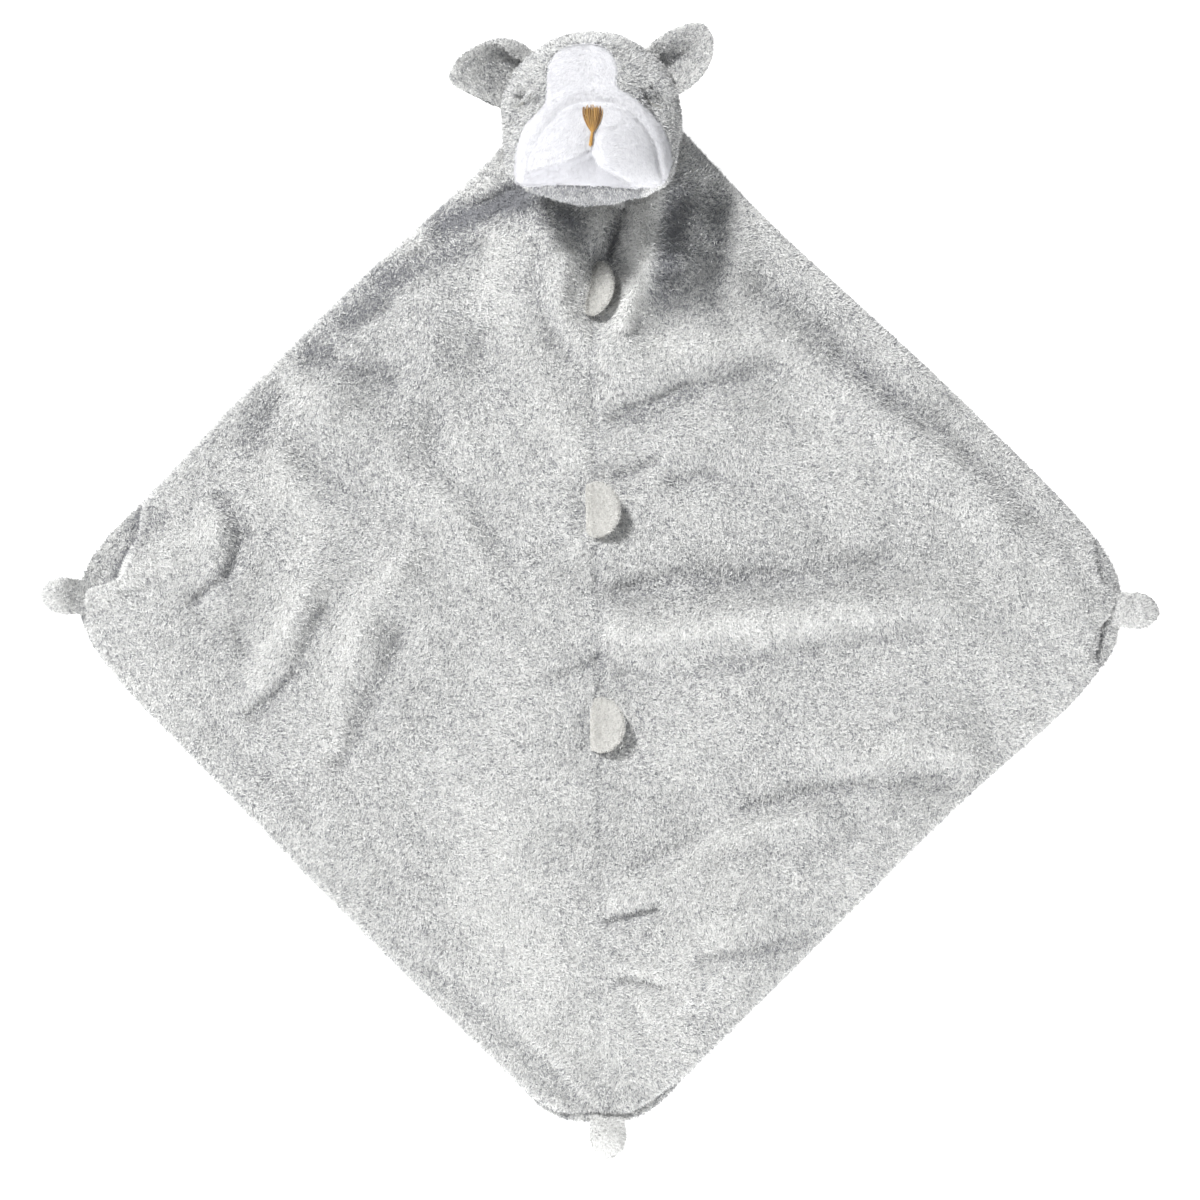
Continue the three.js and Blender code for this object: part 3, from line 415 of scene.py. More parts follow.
def growPile(name, points, faces, recipe, body, nap, thick=None, tall=None, shade=None):
    # nap is the way the tufts lie, thick and tall how many and how long, and shade how light, which holds
    # tone together with painted light and shade
    source = bpy.data.meshes.new(name + "_source")
    source.from_pydata((np.asarray(points) * 0.001).tolist(), [], [list(f) for f in faces])
    source.shade_smooth()
    ones = np.ones(len(points))
    setAttribute(source, "nap", "FLOAT_VECTOR", nap)
    setAttribute(source, "thick", "FLOAT", ones if thick is None else thick)
    setAttribute(source, "tall", "FLOAT", ones if tall is None else tall)
    setAttribute(source, "shade", "FLOAT", 0 * ones if shade is None else shade)
    pile = evaluated(name, source, plushPile, dict(recipe, Blade=blade))
    for unused in unusedAfter:
        if unused in pile.data.attributes:
            pile.data.attributes.remove(pile.data.attributes[unused])
    if body:
        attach(pile, body)
    print("  pile", name, len(pile.data.polygons), "tufts")
    return pile


def puffUp(points, faces, held, cap, pressure=4.0, mass=0.12, steps=6, frames=20):
    # Blender's cloth with air in it: held points stay on their seams, and none moves past the cap
    obj = buildMesh("puff_trial", points, faces)
    group = obj.vertex_groups.new(name="held")
    for weight in (1.0, 0.5):
        chosen = np.nonzero(np.isclose(held, weight))[0].tolist()
        if chosen:
            group.add(chosen, weight, "REPLACE")
    cloth = obj.modifiers.new("puff", "CLOTH")
    cloth.settings.quality = steps
    cloth.settings.mass = mass
    cloth.settings.use_pressure = True
    cloth.settings.uniform_pressure_force = pressure
    cloth.settings.vertex_group_mass = "held"
    cloth.settings.effector_weights.gravity = 0
    cloth.collision_settings.use_collision = False
    cloth.point_cache.frame_start = 1
    cloth.point_cache.frame_end = frames
    for number in range(1, frames + 1):
        scene.frame_set(number)
    graph = bpy.context.evaluated_depsgraph_get()
    puffed = pointsOf(obj.evaluated_get(graph).to_mesh())
    scene.frame_set(1)
    bpy.data.objects.remove(obj)
    moved = puffed - points
    far = np.linalg.norm(moved, axis=1, keepdims=True)
    print("  swelled by %.2f mm on average, %.2f mm at most" % (far.mean(), min(far.max(), cap)))
    return points + moved * np.minimum(1, cap / np.maximum(far, 1e-6))


def normalsOf(points, faces):
    faces = np.asarray(faces)
    corner = points[faces[:, 0]], points[faces[:, 1]], points[faces[:, -1]]
    across = np.cross(corner[1] - corner[0], corner[2] - corner[0])
    total = np.zeros_like(points)
    for k in range(faces.shape[1]):
        np.add.at(total, faces[:, k], across)
    return unit(total)


def along(points, faces, direction):
    # a direction laid flat on the surface
    normals = normalsOf(points, faces)
    flat = direction - np.sum(direction * normals, axis=1, keepdims=True) * normals
    return unit(flat)


def partOf(points, faces, chosen):
    faces = np.asarray(faces)[chosen]
    used, renumbered = np.unique(faces, return_inverse=True)
    return points[used], renumbered.reshape(faces.shape), used


def thicken(obj, thickness):
    wall = obj.modifiers.new("wall", "SOLIDIFY")
    wall.thickness = thickness * 0.001
    wall.offset = -1
    return obj


# The blanket: a square that lies cornerwise, seen from above. Lengths are millimetres, and the
# first two numbers of a bow are shares of half the diagonal.
blanket = {
    "halfDiagonal": 250.32,
    "bluntReach": 234.0,  # where the paws' corners are cut off
    "cornerSlip": 3.5,  # the front layer stops this much sooner
    "cornerRound": 8.0,
    "endInset": 1.5,
    "seamDrift": (3.4, 0.38, 0.3),  # how far the centre seam wanders, where, and over how much
    # where the edge bows: its height on the blanket, how long the bow is, and how far out it goes
    "bowLeft": ((0.76, 0.14, -0.021), (-0.6, 0.3, 0.0125), (0.2, 0.09, -0.01), (-0.2, 0.12, 0.002),
                (-0.93, 0.05, 0.024)),
    "bowRight": ((0.7, 0.22, -0.028), (-0.17, 0.13, 0.025), (-0.93, 0.05, 0.02), (-0.075, 0.035, 0.016)),
    "backTop": 2.6,
    "backBottom": 0.9,
    "frontTop": 5.3,
    "frontWall": 1.9,
    "edgeSeam": 2.9,  # where the two layers meet at the edge
    "edgeRoll": 4.6,
    "loft": 1.9,  # the layers lie this far apart between the edges
    "calm": 26.0,  # the large folds die away this far from the edge
    "crease": 1.6,  # the creases look softer under the pile, so they are drawn deeper
    "ripples": ((0.35, 11, 34), (0.22, 12, 15)),  # height, seed and length of the shallow waves
    "deepest": -0.6,
    "underHead": (34.0, 32.0),  # the pile is thin inside this ellipse below the head
    # where the front's pile is divided, so that no piece has too many faces
    "pileRows": ((-300, -88), (-88, -5), (-5, 72), (72, 300)),
    # where the front layer draws in from the back one: from, rise, fall, to and how far
    "insetLeft": ((3.0, 9.0, 25.0, 47.6, 14.0),),
    "insetRight": ((3.0, 7.5, 15.0, 30.0, 5.5), (-31.0, -23.0, -11.3, -4.0, 6.0),
                   (-237.8, -229.0, -222.8, -210.3, 3.5)),
    "gape": 2.4,  # how far the drawn-in edge stands up
    "seamWidth": 2.4,
    "seamGroove": 1.1,
}
headSeat = {"left": -3.8, "up": 212.4, "halfWidth": 38.6, "halfHeight": 36.9}  # where the head lies on it

# the large folds, as the solids have them: from, to, height, spread
largeFolds = [
    (25, 185, 25, 155, 8.6, 12.4), (25, 155, 7.5, 113, 6.8, 10), (-27, 169, -25, 137, 7.6, 14.5),
    (-75, 145, -75, 110, 3.6, 12), (53, 165, 48, 130, 4.5, 11), (7.5, 100, 70, 115, 3.6, 11),
    (10, 70, 75, 75, 2.7, 11), (83, 125, 180, 35, 3.1, 14), (10, -10, 150, 0, 4.5, 12),
    (100, -65, 155, -60, 3.2, 12), (20, -128, 100, -98, 3.6, 9), (-110, 105, -145, 65, 3.6, 10),
    (-165, 40, -168, 8, 4.0, 11), (-130, 15, -140, -35, 3.2, 10), (-90, 15, -105, -20, 2.7, 9),
]
# creases and small ridges of the plush, in the same numbers
smallFolds = [
    # beside the left paw
    (-228, 1, -193, 20, 1.6, 5.5), (-193, 20, -171, 34, 1.8, 6.0), (-212, 23, -198, 37, -2.6, 4.2),
    (-168, 45, -160, 29, -3.4, 4.8), (-160, 29, -165, 12, -3.4, 4.8), (-165, 12, -179, 1, -2.4, 4.6),
    (-143, 62, -129, 34, 1.6, 8.0), (-129, 34, -132, 7, 1.6, 8.0), (-132, 7, -151, -34, 1.5, 7.0),
    (-124, -4, -138, -34, -1.8, 5.6), (-138, -34, -154, -51, -2.4, 4.6), (-161, -13, -159, -25, -1.2, 5.1),
    (-85, 23, -104, 1, 1.4, 6.5), (-104, 1, -116, -34, 1.9, 6.5), (-116, -34, -118, -65, 1.4, 6.0),
    (-88, -15, -102, -43, -1.7, 6.0), (-102, -43, -116, -73, -1.8, 5.6),
    # slanting across the left half
    (-143, 98, -105, 78, 1.3, 8.0), (-105, 78, -61, 37, 1.3, 8.5), (-138, 70, -110, 45, -1.0, 4.5),
    (-83, 62, -55, 45, -1.2, 6.5), (-55, 45, -41, 18, -1.3, 6.5), (-72, 87, -74, 70, -1.6, 5.2),
    (-45, 18, -18, 23, -0.9, 4.2), (-19, -34, 0, -26, -1.4, 4.2), (-9, 50, -9, 33, -1.8, 4.0),
    (-7, -50, -7, -66, -1.2, 3.5),
    # along the upper left edge
    (-146, 92, -154, 70, -3.0, 6.0), (-129, 109, -94, 100, -3.0, 5.6), (-110, 125, -96, 133, -3.2, 4.6),
    (-94, 144, -58, 158, -4.4, 5.4), (-69, 169, -36, 180, -4.6, 6.0), (-88, 160, -50, 184, 1.6, 4.6),
    # below the chin, left and right of the seam
    (-47, 158, -50, 131, 1.8, 8.0), (-44, 133, -11, 67, 1.2, 8.0), (-28, 158, -30, 139, -1.8, 4.2),
    (-30, 139, -14, 109, -1.6, 4.2), (-14, 109, 0, 98, -1.4, 4.2), (-14, 153, -19, 136, 1.8, 5.0),
    (-19, 136, -8, 117, 1.5, 5.0), (-52, 120, -54, 108, -1.2, 5.0), (0, 177, -1, 160, 3.0, 4.6),
    (11, 178, 5, 154, -3.0, 2.6), (25, 181, 20, 156, 2.8, 4.0), (20, 156, 10, 123, 2.8, 3.8),
    (34, 178, 28, 148, -2.4, 6.0), (52, 179, 50, 134, -2.2, 7.6), (63, 183, 62, 129, 1.0, 6.9),
    (60, 201, 74, 172, 2.0, 5.9),
    # fanning out from the seam to the right
    (18, 111, 85, 118, 1.2, 7.6), (10, 80, 40, 94, -3.2, 6.2), (40, 94, 76, 105, -2.3, 7.0),
    (10, 56, 24, 63, -2.0, 4.5), (34, 53, 50, 56, -2.0, 5.5), (50, 56, 90, 45, -1.0, 7.0),
    (10, 3, 34, 9, -2.3, 6.0), (34, 9, 84, 9, -2.2, 7.0), (84, 9, 125, 16, -1.2, 7.0),
    (7, -14, 67, -9, 2.2, 6.2), (67, -9, 120, -4, 1.9, 6.8), (120, -4, 160, 1, 0.9, 7.0),
    (12, -34, 48, -33, -0.9, 7.0), (48, -31, 98, -22, -1.8, 6.0), (98, -22, 145, -14, -1.1, 6.5),
    (111, -71, 136, -63, 1.2, 6.8),
    (136, -63, 164, -69, 1.2, 6.8), (67, -93, 111, -83, -1.4, 5.0), (111, -83, 153, -81, -1.5, 5.5),
    (8, -133, 33, -120, 1.2, 4.4), (33, -120, 66, -103, 1.4, 4.4), (66, -103, 94, -95, 1.4, 4.4),
    (19, -120, 44, -109, -0.9, 5.0), (55, -114, 94, -109, -1.2, 6.5), (94, -109, 115, -103, -1.0, 7.0),
    (4, -144, 25, -138, -2.0, 3.4), (55, -147, 72, -142, 1.0, 4.5), (47, -161, 72, -157, -1.8, 4.6),
    (72, -157, 96, -150, -2.0, 3.6),
    # small puckers near the bottom
    (8, -164, 27, -168, 1.0, 3.4), (9, -170, 30, -174, -1.1, 3.2), (28, -172, 36, -180, -0.9, 3.2),
    (12, -178, 20, -196, -0.9, 3.2), (18, -176, 28, -192, 0.8, 3.2), (38, -186, 54, -191, -1.2, 5.0),
    # inside the sewn edges
    (76, 140, 109, 110, -2.0, 9.0), (109, 110, 131, 91, -2.8, 7.0), (131, 91, 153, 77, -2.5, 6.0),
    (153, 77, 186, 47, -1.2, 5.5), (186, 47, 213, 17, -1.0, 5.0), (213, 17, 224, 3, -1.0, 4.2),
    (223, -25, 231, -15, -0.8, 3.8), (11, -232, 27, -219, -1.0, 3.0), (-172, -57, -132, -92, -1.0, 5.0),
    (-74, -166, -47, -188, -1.4, 4.4), (-47, -188, -17, -216, -1.8, 4.4), (-17, -216, -6, -227, -1.8, 3.6),
]

# painted light and shade on the pile, lighter or darker along strokes: from, to, how much, spread
paintedLightAndShade = [(22, 184, 14, 132, 0.5, 5), (35, 182, 29, 136, -0.5, 8), (6, 166, 3, 146, -0.4, 4),
           (-72, 167, -38, 180, -0.5, 7), (-38, 180, -14, 171, -0.5, 7), (-14, 171, -5, 160, -0.35, 5),
           (-128, 112, -92, 146, -0.3, 6), (-62, 120, -112, 62, -0.1, 26),
           (-50, -108, -20, -190, 0.14, 28), (28, -185, 62, -120, 0.1, 22)]


def halfWidthAt(y, reach, side):
    half, corner = blanket["halfDiagonal"], blanket["cornerRound"]
    up = np.abs(y)
    bow = 0.0
    for at, spread, out in blanket["bowLeft"] if side < 0 else blanket["bowRight"]:
        bow = bow + out * half * np.exp(-(((y / half - at) / spread) ** 2))
    close = corner * np.log(1 - np.exp((up - reach) / corner))
    straight = half + bow - up + close
    return -corner * np.log(math.exp(-reach / corner) + np.exp(-straight / corner))


def seamAt(y):
    drift, at, spread = blanket["seamDrift"]
    return -drift * np.exp(-(((y / blanket["halfDiagonal"] - at) / spread) ** 2))


def seamDepth(y):
    # the seam shows less in the smooth lower part
    return 0.4 + 0.6 * smoothStep((y + 120) / 60)


def insetAt(y, side):
    inset = np.zeros_like(y)
    for start, rise, fall, end, far in blanket["insetLeft"] if side < 0 else blanket["insetRight"]:
        inset += far * smoothStep((y - start) / (rise - start)) * (1 - smoothStep((y - fall) / (end - fall)))
    return inset


def foldHeight(folds, x, y, power=1):
    # a power above 1 lets folds that meet end to end run into each other without a lump
    up, down = np.zeros_like(x), np.zeros_like(x)
    for ax, ay, bx, by, high, spread in folds:
        dx, dy = bx - ax, by - ay
        nearest = np.clip(((x - ax) * dx + (y - ay) * dy) / (dx * dx + dy * dy), 0, 1)
        away = np.hypot(x - ax - nearest * dx, y - ay - nearest * dy)
        rise = (abs(high) * np.exp(-((away / spread) ** 2))) ** power
        if high > 0:
            up += rise
        else:
            down += rise
    return up ** (1 / power) - down ** (1 / power)


def foldAt(x, y):
    inside = (blanket["halfDiagonal"] - np.abs(x) - np.abs(y)) / math.sqrt(2)
    fromHead = np.hypot((x - headSeat["left"]) / headSeat["halfWidth"],
                        (y - headSeat["up"]) / headSeat["halfHeight"])
    beside = smoothStep((fromHead - 0.72) / 0.5)
    calm = smoothStep(inside / blanket["calm"])
    nearEdge = smoothStep(inside / 8)
    ripple = sum(high * wavyField(x, y, seed, size) for high, seed, size in blanket["ripples"])
    large = (foldHeight(largeFolds, x, y) + blanket["loft"]) * calm * beside
    small = (foldHeight(smallFolds, x, y, 4) * blanket["crease"] + ripple) * nearEdge * beside
    return np.maximum(large + small, blanket["deepest"])


def clothTop(x, y):
    return blanket["frontTop"] + foldAt(x, y)


def rowPlaces(rows, reach):
    share = np.linspace(-1, 1, rows)
    even = np.abs(share)
    eased = (1 - np.cos(np.pi * even)) / 2
    return np.sign(share) * (even + eased) / 2 * (reach - blanket["endInset"])


def napAt(x, y):
    # the way the pile was last stroked, which wanders over the cloth
    angle = -1.3 + 0.9 * wavyField(x, y, 21, 95) + 0.5 * wavyField(x, y, 22, 33)
    return np.stack([np.cos(angle), np.sin(angle), 0 * angle], axis=1)


def frontSurface(side, columns=80, rows=220):
    reach = blanket["bluntReach"] - blanket["cornerSlip"]
    y = np.repeat(rowPlaces(rows, reach), columns)
    u = np.tile(np.linspace(0, 1, columns), rows)
    share = 1 - (1 - u) ** 1.35  # closer together at the edge
    inset = insetAt(y, side)
    width = halfWidthAt(y, reach, side) - inset
    start = side * seamAt(y)
    x = side * (start + (width - start) * share)
    top = clothTop(x, y)
    # the seam down the middle pulls in, and the edge rolls down to its own seam
    fromSeam = np.abs(x - seamAt(y))
    groove = blanket["seamGroove"] * np.exp(-((fromSeam / blanket["seamWidth"]) ** 2))
    top -= groove * smoothStep((reach - np.abs(y)) / 20) * seamDepth(y)
    fromEdge = np.minimum((width - np.abs(x)) / math.sqrt(2), reach - blanket["endInset"] - np.abs(y))
    t = np.clip(fromEdge / blanket["edgeRoll"], 0, 1)
    roll = np.sqrt(np.maximum(1 - (1 - t) ** 2, 0))
    gape = blanket["gape"] * np.minimum(inset / 7, 1)
    top += 0.7 * gape * np.exp(-(fromEdge / 9) ** 2)
    foot = blanket["edgeSeam"] + 0.6 * gape
    z = foot + (top - foot) * roll
    faces = gridFaces(columns, rows)
    if side < 0:
        faces = faces[:, ::-1]
    return np.stack([x, y, z], axis=1), faces, fromEdge


def backSurface(columns=60, rows=220):
    # from the middle of the upper face out round the edge to the middle of the lower face
    reach = blanket["bluntReach"]
    profile = np.concatenate([np.linspace(-1, 1, columns), np.linspace(1, -1, columns)[1:-1]])
    upper = np.concatenate([np.ones(columns), -np.ones(columns - 2)])
    upper[0] = upper[columns - 1] = 0
    count = len(profile)
    y = np.repeat(rowPlaces(rows, reach), count)
    t = np.tile(profile, rows)
    face = np.tile(upper, rows)
    width = np.where(t < 0, halfWidthAt(y, reach, -1), halfWidthAt(y, reach, 1))
    share = np.sign(t) * (1 - (1 - np.abs(t)) ** 1.2)
    x = share * width
    middle = (blanket["backTop"] + blanket["backBottom"]) / 2
    thick = (blanket["backTop"] - blanket["backBottom"]) / 2
    fromEdge = np.minimum((width - np.abs(x)) / math.sqrt(2), reach - blanket["endInset"] - np.abs(y) + 0.3)
    roll = np.sqrt(np.maximum(1 - (1 - np.clip(fromEdge / 2.2, 0, 1)) ** 2, 0))
    z = middle + face * thick * roll
    points = np.stack([x, y, z], axis=1)
    faces = gridFaces(count, rows, wrap=True)
    ends = [list(range(count))[::-1], list(range((rows - 1) * count, rows * count))]
    return points, faces, ends, fromEdge, face


def brushedNap(points, faces, stroked, sideways, fromEdge, width):
    # the pile lies the way it was stroked, and outwards at the rim
    outward = along(points, faces, np.stack([sideways, np.sign(points[:, 1]), 0 * sideways], axis=1))
    rim = np.exp(-(np.maximum(fromEdge, 0) / width) ** 2)[:, None]
    return unit(along(points, faces, stroked) * (1 - rim) + outward * rim), rim[:, 0]


plushRecipe = {"Length": 0.002, "Width": 0.00062, "Rise": 0.45, "Clump": 2.2, "ClumpSize": 0.0011,
               "Tangle": 1.0, "Mottle": 1.4, "Fuzz": 0.35, "Finish": heatherPile}

for side, name in ((-1, "left"), (1, "right")):
    points, faces, fromEdge = frontSurface(side)
    sheet = thicken(buildMesh("sheet_front_" + name, points, faces, greyBacking), blanket["frontWall"])
    x, y = points[:, :2].T
    nap, rim = brushedNap(points, faces, napAt(x, y), side + 0 * x, fromEdge, 2.5)
    wide, high = blanket["underHead"]
    underHead = np.hypot((x - headSeat["left"]) / wide, (y - headSeat["up"]) / high) < 1
    thick = np.where(underHead, 0.15, 1.0) + 0.9 * rim
    # a faint random tone, painted shade in the creases and painted light on the ridges, painted light and
    # shade along the strokes listed above, and painted shade along the seam's groove
    shade = 0.02 * wavyField(x, y, 31, 60) + 0.09 * foldHeight(smallFolds, x, y, 4)
    shade += foldHeight(paintedLightAndShade, x, y)
    shade -= 0.2 * seamDepth(y) * np.exp(-((x - seamAt(y)) / 0.9) ** 2)
    centre = points[faces].mean(axis=1)
    for k, (low, high) in enumerate(blanket["pileRows"]):
        part, partFaces, used = partOf(points, faces, (centre[:, 1] >= low) & (centre[:, 1] < high))
        recipe = dict(plushRecipe, Tufts=6.5e6, Seed=40 + 10 * k + (5 if side > 0 else 0))
        growPile("pile_front_%s_%d" % (name, k + 1), part, partFaces, recipe, "blanket",
                              nap[used], thick[used], None, shade[used])
    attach(sheet, "blanket")
    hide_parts("front_panel_" + name)
print("front layer ready")

points, faces, ends, fromEdge, face = backSurface()
backSheet = buildMesh("sheet_back", points, [list(f) for f in faces] + ends, greyBacking)
x, y = points[:, :2].T
nap = brushedNap(points, faces, napAt(x * 0.9, y + 40) + np.array([0, -0.2, 0]), np.sign(x), fromEdge, 3.0)[0]
# on its upper side the pile shows only at the rim and where the front layer draws in
shown = (fromEdge < 3) | ((fromEdge < 13) & (np.abs(y) < 52)) | ((fromEdge < 7) & (y < -200))
thick = np.where(face > 0, np.where(shown, 1.0, 0.0), 1.0)
# painted shadow darkens the pile in the fold under the front layer's edge, most of all on the left
frontReach = blanket["bluntReach"] - blanket["cornerSlip"]
covered = np.clip(y, -229, 229)
frontEdge = np.where(np.sign(x) < 0, halfWidthAt(covered, frontReach, -1) - insetAt(y, -1),
                     halfWidthAt(covered, frontReach, 1) - insetAt(y, 1))
beyond = (np.abs(x) - frontEdge) / math.sqrt(2)
paintedGapShadow = np.exp(-((beyond - 0.5) / 2.2) ** 2) * (face > 0)
paintedGapShadow = paintedGapShadow * np.where(x > 0, 0.4, 1.0) * np.where(y < -190, 0.25, 1.0)
onTop = face[faces].mean(axis=1) > 0
across = points[faces].mean(axis=1)[:, 0]
backParts = {"left": ~onTop & (across < 0), "right": ~onTop & (across > 0), "rim": onTop}
for k, (name, chosen) in enumerate(backParts.items()):
    part, partFaces, used = partOf(points, faces, chosen)
    if name == "rim":
        recipe = dict(plushRecipe, Tufts=8.4e6, Seed=150)
    else:
        recipe = dict(plushRecipe, Tufts=1.9e6, Width=0.0009, Length=0.0026, Rise=0.28, Seed=140 + k)
    # shorter tufts and painted shadow in the fold under the front layer's edge
    growPile("pile_back_" + name, part, partFaces, recipe, "blanket",
                              nap[used], thick[used], 1 - 0.4 * paintedGapShadow[used], -0.8 * paintedGapShadow[used])
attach(backSheet, "blanket")
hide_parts("back_panel")
# the blanket is a 354 mm square, and each half of its front has half of the square's area
print("back layer ready")

# The head is one stuffed form. Numbers are millimetres in its own frame, with Z out of the face.
head = {
    "middle": (headSeat["left"], headSeat["up"], 33.8),
    "half": (headSeat["halfWidth"], headSeat["halfHeight"], 28.0),
    "lipLift": 5.2,
    "fuller": [(0.0, -0.84, 0.62, 0.3)],  # where the lip lifts: place and spread
    "loose": 0.6,  # the plush starts this far outside the form
    "swell": 2.6,  # and the stuffing swells it by no more than this
    "fillInset": 4.2,
    "swells": [  # how far, then places and spreads in shares of the half width and height
        (10.0, [(0.02, -0.44, 0.7, 0.48)]),
        (1.8, [(-0.36, -0.32, 0.34, 0.32), (0.4, -0.42, 0.34, 0.36)]),
        (-1.2, [(0.01, -0.42, 0.09, 0.2)]),
        (-0.6, [(-0.14, -0.74, 0.45, 0.14)]),
        (2.0, [(-0.68, 0.34, 0.18, 0.16), (0.76, 0.36, 0.18, 0.16)]),
        (-3.4, [(-0.78, 0.16, 0.12, 0.14), (0.7, 0.14, 0.12, 0.14)]),
    ],
    "jaw": (5.5, [(-0.7, -0.62, 0.3, 0.3), (0.72, -0.66, 0.3, 0.3)]),
    # outlines of the white, the muzzle and the lip, in shares of the half width and height
    "white": [(-0.86, -0.76), (-0.845, -0.42), (-0.73, -0.12), (-0.53, 0.1), (-0.5, 0.34), (-0.48, 0.59),
              (-0.34, 0.78), (-0.13, 0.845), (0.04, 0.845), (0.2, 0.76), (0.29, 0.56), (0.31, 0.29),
              (0.44, 0.21), (0.55, 0.13), (0.72, -0.04), (0.835, -0.215), (0.9, -0.41), (0.9, -0.62),
              (0.78, -0.83), (0.44, -0.88), (0.1, -0.87), (-0.47, -0.85), (-0.72, -0.85)],
    "muzzle": [(-0.74, -1.2), (-0.72, -0.6), (-0.64, -0.38), (-0.49, -0.155), (-0.3, 0.04), (-0.13, 0.11),
               (0.1, 0.12), (0.32, 0.08), (0.51, -0.05), (0.66, -0.26), (0.74, -0.48), (0.78, -1.2)],
    "lip": [(-0.8, -1.2), (-0.76, -0.71), (-0.35, -0.6), (-0.18, -0.53), (-0.02, -0.45), (0.04, -0.57),
            (0.13, -0.68), (0.28, -0.79), (0.46, -0.9), (0.46, -1.2)],
    "bandFrom": 4.0,  # below this the grey goes right round the side
    "backSeam": -3.0,
    "chin": (-27.0, 22.0, -28.0),  # from, to and the height of its top
    "hole": (0.0, -18.45, 8.0),  # where the neck goes in, and its radius
    "whiteSeam": (0.45, 0.8),  # how far the seam pulls in, and over how much
    "muzzleSeam": (0.8, 1.9),
    "muzzleRoll": (0.55, 5.0, 2.8),  # its height, how far it is from the seam, and its spread
    "lumps": ((0.3, 51, 13), (0.14, 52, 6)),  # height, seed and length of the stuffing's lumps
    "wall": 1.6,
}
# tucks and puckers of the face: the line each follows, its height and its spread
faceFolds = [
    ([(-31.0, 8.2), (-34.2, 3.4), (-36.8, -2.6)], -3.2, 1.5),
    ([(-24.4, 8.6), (-28.8, 5.4), (-36.3, -1.6)], 1.7, 2.0),
    ([(-22.6, 5.4), (-29.0, 0.8), (-36.0, -5.2)], -1.7, 1.5),
    ([(-27.5, 12.8), (-32.5, 11.5)], 1.2, 2.6),
    ([(23.3, 7.2), (26.4, 2.8), (30.0, -1.9)], -2.3, 1.5),
    ([(22.6, 10.2), (25.1, 7.0)], -2.0, 1.6),
    ([(27.0, 18.5), (34.5, 10.5)], 1.8, 3.6),
    ([(26.4, 12.0), (29.6, 6.6), (34.0, 3.0)], -1.8, 1.6),
    ([(29.0, 22.0), (38.0, 13.0)], -0.9, 2.0),
    ([(0.0, -17.7), (-8.7, -22.0), (-19.2, -24.0), (-27.9, -26.4)], -0.55, 1.5),
    ([(0.0, -17.7), (3.2, -23.6), (8.2, -26.8), (16.3, -30.4)], -0.6, 1.5),
    ([(0.2, -12.5), (-0.2, -15.6)], -0.4, 1.8),
    ([(3.8, -9.5), (9.4, -8.6), (14.4, -5.5)], -0.3, 1.6),
    ([(-8.5, -19.0), (-22.0, -21.0)], 0.3, 2.6),
]


def ballMesh(subdivisions):
    made = bmesh.new()
    bmesh.ops.create_icosphere(made, subdivisions=subdivisions, radius=1.0)
    points = np.array([tuple(v.co) for v in made.verts])
    faces = np.array([[v.index for v in f.verts] for f in made.faces])
    made.free()
    return unit(points), faces


def bumpsAt(x, y, places):
    return sum(np.exp(-((x - px) / sx) ** 2 - ((y - py) / sy) ** 2) for px, py, sx, sy in places)


def headSurface(ways, offset):
    half = np.array(head["half"])
    radius = 1 / np.linalg.norm(ways / half, axis=1)
    x, y = ways[:, 0] * radius / half[0], ways[:, 1] * radius / half[1]
    swell = sum(rise * bumpsAt(x, y, places) for rise, places in head["swells"])
    out = smoothStep(ways[:, 2] / 0.4) * swell
    out += smoothStep((ways[:, 2] + 0.25) / 0.5) * head["jaw"][0] * bumpsAt(x, y, head["jaw"][1])
    points = ways * (radius + out + offset)[:, None]
    # the lower lip is stuffed fuller towards the front
    points[:, 2] += head["lipLift"] * smoothStep(ways[:, 2] / 0.3) * bumpsAt(x, y, head["fuller"])
    return points


def smoothOutline(shares, steps=12):
    # a centripetal Catmull-Rom curve through the places, closed
    places = np.array(shares) * head["half"][:2]
    count, curve = len(places), []
    for k in range(count):
        p = [places[(k + i) % count] for i in (-1, 0, 1, 2)]
        t = np.concatenate([[0], np.cumsum([math.sqrt(np.linalg.norm(p[i + 1] - p[i])) for i in range(3)])])
        s = np.linspace(t[1], t[2], steps, endpoint=False)[:, None]
        a = [((t[i + 1] - s) * p[i] + (s - t[i]) * p[i + 1]) / (t[i + 1] - t[i]) for i in range(3)]
        b = [((t[i + 2] - s) * a[i] + (s - t[i]) * a[i + 1]) / (t[i + 2] - t[i]) for i in range(2)]
        curve.append(((t[2] - s) * b[0] + (s - t[1]) * b[1]) / (t[2] - t[1]))
    return np.concatenate(curve)


def insideOutline(x, y, outline):
    inside = np.zeros(len(x), bool)
    for (ax, ay), (bx, by) in zip(outline, np.roll(outline, -1, axis=0)):
        crosses = (ay > y) != (by > y)
        inside ^= crosses & (x < (bx - ax) * (y - ay) / (by - ay + 1e-12) + ax)
    return inside


def towardsLine(x, y, line, closed=False):
    # the vector from each place to the nearest place on the line
    line = np.asarray(line, float)
    best = np.full((len(x), 2), 1e3)
    pairs = zip(line, np.roll(line, -1, axis=0)) if closed else zip(line[:-1], line[1:])
    for a, b in pairs:
        d = b - a
        s = np.clip(((x - a[0]) * d[0] + (y - a[1]) * d[1]) / (d @ d + 1e-12), 0, 1)
        away = np.stack([a[0] + s * d[0] - x, a[1] + s * d[1] - y], axis=1)
        nearer = np.hypot(away[:, 0], away[:, 1]) < np.hypot(best[:, 0], best[:, 1])
        best[nearer] = away[nearer]
    return best


outlines = {name: smoothOutline(head[name]) for name in ("white", "muzzle", "lip")}


